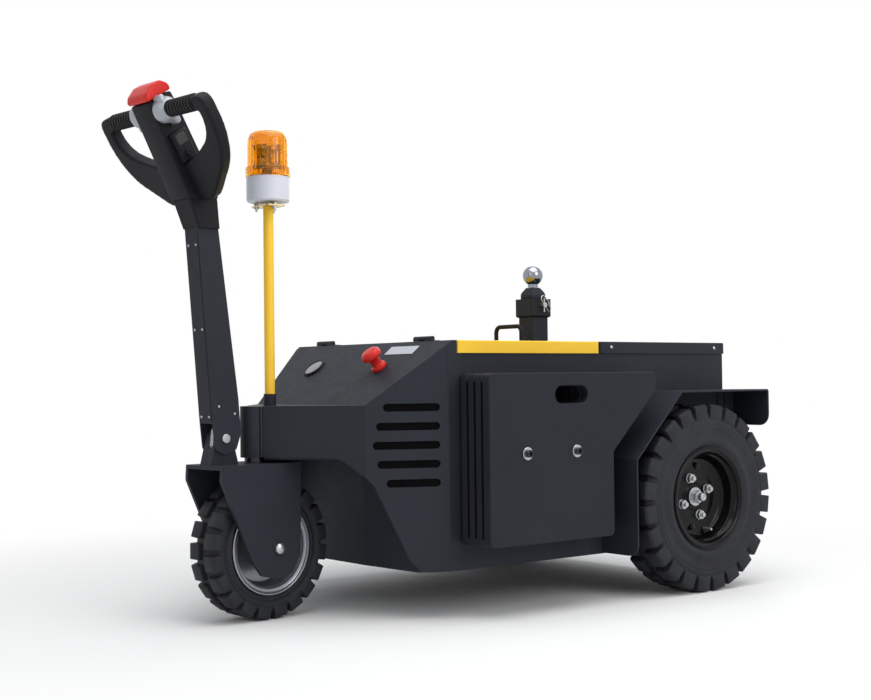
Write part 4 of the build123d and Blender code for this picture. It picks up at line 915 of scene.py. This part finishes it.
class TRACTOR_OT_body_screws(bpy.types.Operator):
    """Screws of the rear cover and of the lid hinges"""

    bl_idname = "tractor.body_screws"
    bl_label = "Body screws"

    def execute(self, context):
        radius = context.scene.tractor_sizes.screw_head
        cover_half, cover_rim = 0.282, 0.5425
        spots = [place((x, way * cover_half, cover_rim), (0, way, 0)) for way in (1, -1) for x in (-0.3, -0.64)]
        dress(repeated("cover_screws", screw_head(radius), spots), "zinc")
        leaf = 0.0025
        spots = [place((x, y, LID_TOP + leaf)) for y in (-0.18, 0.18) for x in (0.1125, 0.126)]
        dress(repeated("hinge_screws", screw_head(radius * 0.8), spots), "zinc", "battery_lid")
        return {"FINISHED"}


class TRACTOR_OT_weld_seams(bpy.types.Operator):
    """Weld beads of the neck on the head tube and along the console's rear edges"""

    bl_idname = "tractor.weld_seams"
    bl_label = "Weld seams"

    def execute(self, context):
        ripple = mm([(0, -2.2), (1.4, -1.8), (2.3, -0.8), (2.6, 0.4), (2, 1.6), (0, 2.2)])
        small = [(r * 0.5, z * 0.8) for r, z in ripple]
        for side, way in SIDES:
            bead = turned("weld_ripple", ripple, segments=10, sharp=60)
            start = (STEER_X + 0.0012, way * (HEAD_TUBE_R + 0.0022), 0.3265)
            wander = ((0.0004, 2.3), (0.0003, 5.1))
            self.add_seam("neck_weld_" + side, bead, 44, start, 0.00228, wander, roll=(0.35, 1.7))
            bead = turned("weld_ripple", small, segments=8, sharp=60)
            start = (0.1567, way * 0.2789, 0.103)
            wander = ((0.0003, 1.9), (0.0003, 4.3))
            self.add_seam("console_weld_" + side, bead, 118, start, 0.0037, wander, roll=(0.4, 2.1))
        return {"FINISHED"}

    def add_seam(self, name, bead, count, start, rise, wander, roll):
        """Ripples going up from start, uneven across and in roll by waves of (size, rhythm)."""
        spots = []
        for k in range(count):
            aside = sum(size * math.sin(k * rhythm) for size, rhythm in wander)
            at = (start[0] + aside, start[1], start[2] + k * rise)
            spots.append(Matrix.Translation(at) @ Matrix.Rotation(roll[0] * math.sin(k * roll[1]), 4, "X"))
        dress(repeated(name, bead, spots), "body_black", "chassis", "weld_bead")


class TRACTOR_OT_ball_mount(bpy.types.Operator):
    """Ball mount with its tapered cap round the ball's neck"""

    bl_idname = "tractor.ball_mount_cap"
    bl_label = "Ball mount"

    def execute(self, context):
        low, high = place((HITCH_X, 0, 0.65)), place((HITCH_X, 0, 0.6685))
        post, shoulder = (0.0496, 0.0496, 0.025), (0.043, 0.043, 0.014)
        pieces = [block("mount_post", post, low, bevel=0.002), block("mount_block", shoulder, high, 0.003, 3)]
        cap = mm([(12, 674), (29, 674), (27, 678.5), (17.5, 689), (15, 690.5), (12.2, 690.5), (12, 674)])
        middle = Matrix.Translation((HITCH_X, 0, 0)) @ Matrix.Rotation(math.radians(45), 4, "Z")
        pieces.append(turned("mount_cap", cap, middle, segments=4, sharp=20))
        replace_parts(dress(joined("ball_mount_cap", pieces), "body_black"), "ball_mount")
        return {"FINISHED"}


class TRACTOR_OT_ballast_screws(bpy.types.Operator):
    """Socket screws and washers that hold the ballast plates"""

    bl_idname = "tractor.ballast_screws"
    bl_label = "Ballast screws"

    def execute(self, context):
        washer = mm([(5, 0), (12.6, 0), (13, 0.6), (13, 2.4), (12.4, 3), (5, 3), (5, 0)])
        head = mm([(0, 1), (7.4, 1), (7.8, 3), (7.8, 9.2), (7, 10.2), (4.4, 10.2), (4, 6), (0, 5.8)])
        plate_face, bolt_up = 0.3733, 0.327
        spots = [place((x, way * plate_face, bolt_up), (0, way, 0)) for way in (1, -1) for x in (0.0335, -0.1025)]
        rings = repeated("ballast_washers", turned("washer", washer, segments=36), spots)
        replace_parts(dress(rings, "zinc"), "ballast_bolts")
        heads = repeated("ballast_screws", turned("screw", head, segments=28), spots)
        dress(heads, "zinc", "chassis", "screw_black")
        return {"FINISHED"}


class TRACTOR_OT_inner_sheets(bpy.types.Operator):
    """Painted shade: a near-black sheet behind the louvres and near-black sheets in the gaps between the ballast
    plates; and the filler strips at the fenders' inner ends
    """

    bl_idname = "tractor.inner_sheets"
    bl_label = "Inner sheets"

    def execute(self, context):
        outline = mm([(-74, -86), (50, -86), (70, -50), (76, -20), (76, 83), (-74, 83)])
        shade_sheet_pieces, strips = [], []
        behind, thin, plate_pitch = 0.0041, 0.0008, 0.022
        for way in (1, -1):
            out, along = Vector((0.4567, 0.8896 * way, 0)), (0.8896, -0.4567 * way, 0)
            centre = Vector((0.2315, 0.2405 * way, 0.3465)) - out * behind
            cut = [(x, -way * z) for x, z in outline]
            # near-black sheet just behind the louvres: painted shade inside the body
            shade_sheet_pieces.append(outlined("louvre_shade_sheet", cut, thin, place(centre, out, along)))
            # thin near-black sheets across the gaps between the ballast plates: painted shade in the gaps
            for k in range(3):
                gap = place((0.1316, way * (0.307 + plate_pitch * k), 0.317), (1, 0, 0))
                shade_sheet_pieces.append(block("plate_gap_shade", (0.31, 0.006, 0.0006), gap, bevel=0))
            inner_end = place((-0.672, way * 0.2803, 0.404), (0, way, 0), (1, 0, 0))
            strips.append(block("strip", (0.04, 0.08, 0.0022), inner_end, bevel=0.0004, steps=1))
        dress(joined("painted_shade_sheets", shade_sheet_pieces), "plastic_black", "chassis", "painted_shade_black")
        dress(joined("fender_strips", strips), "body_black")
        return {"FINISHED"}


class TRACTOR_OT_pin_clip(bpy.types.Operator):
    """Spring clip through the hitch pin"""

    bl_idname = "tractor.pin_clip"
    bl_label = "Pin clip"

    def execute(self, context):
        eye = Vector((HITCH_X, 0.0402, 0.648))
        bends = mm([(-13, 0, -16), (-4, 0, -6), (4, 0, 4), (11, 0, 13), (9, 0, 21), (1, 0, 22), (-3, 2, 14),
                    (-10, 3, 9), (-11, 3, -2), (-17, 2, -8)])
        path = [eye + Vector(bend) for bend in bends]
        dress(wire("pin_clip", path, 0.0012), "zinc")
        return {"FINISHED"}


class TRACTOR_OT_panel_details(bpy.types.Operator):
    """Display window and key switch on the tiller head's panel"""

    bl_idname = "tractor.panel_details"
    bl_label = "Panel details"

    def execute(self, context):
        at = in_steering(0.19, 0.0442, 0.93)
        window_up, key_down = TILLER_LEAN * 0.014, TILLER_LEAN * 0.015
        where = place(at + window_up, LEFT, TILLER_LEAN)
        window = block("panel_window", (0.02, 0.024, 0.0008), where, bevel=0.0003, steps=1)
        dress(window, "plastic_black", "tiller", "screen_black")
        key = mm([(0, 0), (6.8, 0), (6.8, 2.2), (5.8, 3), (4.4, 3), (4, 2), (0, 2)])
        switch = turned("key_switch", key, place(at - key_down, LEFT, TILLER_LEAN), segments=32)
        dress(switch, "plastic_black", "tiller")
        return {"FINISHED"}


class TRACTOR_OT_finishes(bpy.types.Operator):
    """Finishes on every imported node, by the record's material slots"""

    bl_idname = "tractor.finishes"
    bl_label = "Finishes"

    def execute(self, context):
        FINISHES.update(make_finishes(context.scene.tractor_colours))
        for entry in frame["record"]["subparts"]:
            node = frame["nodes"][entry["node"]]
            if not node.material_slots:
                node.data.materials.append(None)
            chosen = SHOWN_AS.get(entry["node"], entry["material_slot"])
            for held in node.material_slots:
                held.material = FINISHES[chosen]
        return {"FINISHED"}


class TRACTOR_OT_stage(bpy.types.Operator):
    """Pale floor, soft studio light and the camera"""

    bl_idname = "tractor.stage"
    bl_label = "Stage"

    def execute(self, context):
        self.add_floor()
        self.add_world()
        self.add_lamps()
        self.add_camera()
        bpy.context.scene.view_settings.view_transform = "Standard"
        return {"FINISHED"}

    def add_floor(self):
        """A pale floor that goes over to plain white from 0.7 to 1.9 m away."""
        deselect()
        bpy.ops.mesh.primitive_plane_add(size=60)
        floor = bpy.context.object
        floor.name = "floor"
        made, tree, shader = new_material("floor_pale")
        fill(tree, shader, {"Base Color": (0.93, 0.93, 0.93, 1), "Roughness": 0.85, "Specular IOR Level": 0.1})
        where = add_node(tree, "TexCoord", {}).outputs["Object"]
        distance = add_node(tree, "VectorMath", {0: where}, "LENGTH").outputs["Value"]
        fade = add_node(tree, "MapRange", {"Value": distance, "From Min": 0.7, "From Max": 1.9})
        fade.interpolation_type = "SMOOTHSTEP"
        share = add_node(tree, "Math", {0: fade.outputs["Result"], 1: self.seen_directly(tree)}, "MULTIPLY")
        white = add_node(tree, "Emission", {"Strength": 1.0}).outputs["Emission"]
        mixed = add_node(tree, "MixShader", {"Fac": share.outputs["Value"], 1: shader.outputs["BSDF"], 2: white})
        fill(tree, tree.nodes["Material Output"], {"Surface": mixed.outputs["Shader"]})
        floor.data.materials.append(made)

    def seen_directly(self, tree):
        """1 for camera, glossy and transmission rays."""
        rays = add_node(tree, "LightPath", {}).outputs
        seen = rays["Is Camera Ray"]
        for ray in ("Is Glossy Ray", "Is Transmission Ray"):
            seen = add_node(tree, "Math", {0: seen, 1: rays[ray]}, "MAXIMUM").outputs["Value"]
        return seen

    def add_world(self):
        """Soft light from all round, and white to look at."""
        world = bpy.data.worlds.new("studio")
        bpy.context.scene.world = world
        world.use_nodes = True
        tree = world.node_tree
        ambient = tree.nodes["Background"]
        fill(tree, ambient, {"Color": (0.96, 0.98, 1.0, 1), "Strength": 0.42})
        white = add_node(tree, "Background", {"Color": (1, 1, 1, 1), "Strength": 1.0})
        mixed = add_node(tree, "MixShader", {
            "Fac": self.seen_directly(tree), 1: ambient.outputs["Background"], 2: white.outputs["Background"]})
        fill(tree, tree.nodes["World Output"], {"Surface": mixed.outputs["Shader"]})

    def add_lamps(self):
        """Four large soft lamps."""
        # name, place, aimed at, size, power
        lamps = (
            ("overhead", (0.0, 0.7, 3.2), (0, 0, 0.3), 3.0, 74.0),
            ("front_side", (3.2, 1.2, 1.8), (0.2, 0, 0.4), 1.8, 7.0),
            ("near_side", (-0.6, 3.8, 2.1), (-0.1, 0, 0.4), 2.2, 46.0),
            ("behind", (-2.8, -2.2, 2.2), (-0.2, 0, 0.5), 2.0, 20.0),
        )
        for name, spot, aim, size, power in lamps:
            bpy.ops.object.light_add(type="AREA", location=spot)
            lamp = bpy.context.object
            lamp.name = name
            lamp.data.size = size
            lamp.data.energy = power
            lamp.matrix_world = place(spot, Vector(spot) - Vector(aim))

    def add_camera(self):
        """The camera that took the photo, as solved from it."""
        yaw, pitch, roll = math.radians(-128.34), math.radians(1.21), math.radians(0.65)
        look = Vector((math.cos(pitch) * math.cos(yaw), math.cos(pitch) * math.sin(yaw), math.sin(pitch)))
        level = look.cross(UP).normalized()
        dip = look.cross(level)
        right = level * math.cos(roll) + dip * math.sin(roll)
        down = dip * math.cos(roll) - level * math.sin(roll)
        bpy.ops.object.camera_add()
        camera = bpy.context.object
        camera.name = "photo_view"
        camera.data.lens = 57.71
        camera.data.sensor_width = 36.0
        axes = Matrix((right, -down, -look)).transposed().to_4x4()
        axes.translation = Vector((1.8993, 2.4418, 0.4765))
        camera.matrix_world = axes
        bpy.context.scene.camera = camera


STEPS = (
    TRACTOR_OT_finishes,
    TRACTOR_OT_rear_tyres,
    TRACTOR_OT_front_tyre,
    TRACTOR_OT_rear_rims,
    TRACTOR_OT_front_rim,
    TRACTOR_OT_axle_ends,
    TRACTOR_OT_rim_details,
    TRACTOR_OT_tiller_grips,
    TRACTOR_OT_beacon,
    TRACTOR_OT_beacon_screws,
    TRACTOR_OT_arm_fasteners,
    TRACTOR_OT_return_spring,
    TRACTOR_OT_stop_button,
    TRACTOR_OT_head_case,
    TRACTOR_OT_reverse_button,
    TRACTOR_OT_gauge_face,
    TRACTOR_OT_label_plate,
    TRACTOR_OT_body_screws,
    TRACTOR_OT_weld_seams,
    TRACTOR_OT_ball_mount,
    TRACTOR_OT_ballast_screws,
    TRACTOR_OT_inner_sheets,
    TRACTOR_OT_pin_clip,
    TRACTOR_OT_panel_details,
    TRACTOR_OT_stage,
)


class TRACTOR_PT_panel(bpy.types.Panel):
    """Lists the steps and their sizes and colours"""

    bl_idname = "TRACTOR_PT_panel"
    bl_label = "Tow tractor"
    bl_space_type = "VIEW_3D"
    bl_region_type = "UI"
    bl_category = "Tow tractor"

    def draw(self, context):
        for step in STEPS:
            self.layout.operator(step.bl_idname)
        for group in (context.scene.tractor_sizes, context.scene.tractor_colours):
            for name in group.__annotations__:
                self.layout.prop(group, name)


CLASSES = (TractorSizes, TractorColours, *STEPS, TRACTOR_PT_panel)


def register():
    """Registers the classes and hangs the settings on the scene."""
    for each in CLASSES:
        bpy.utils.register_class(each)
    bpy.types.Scene.tractor_sizes = PointerProperty(type=TractorSizes)
    bpy.types.Scene.tractor_colours = PointerProperty(type=TractorColours)


def unregister():
    """Removes the settings and the classes."""
    del bpy.types.Scene.tractor_sizes
    del bpy.types.Scene.tractor_colours
    for each in reversed(CLASSES):
        bpy.utils.unregister_class(each)


def main():
    """Runs every step in order."""
    register()
    for step in STEPS:
        group, name = step.bl_idname.split(".")
        getattr(getattr(bpy.ops, group), name)()
    deselect()


if __name__ == "__main__":
    main()
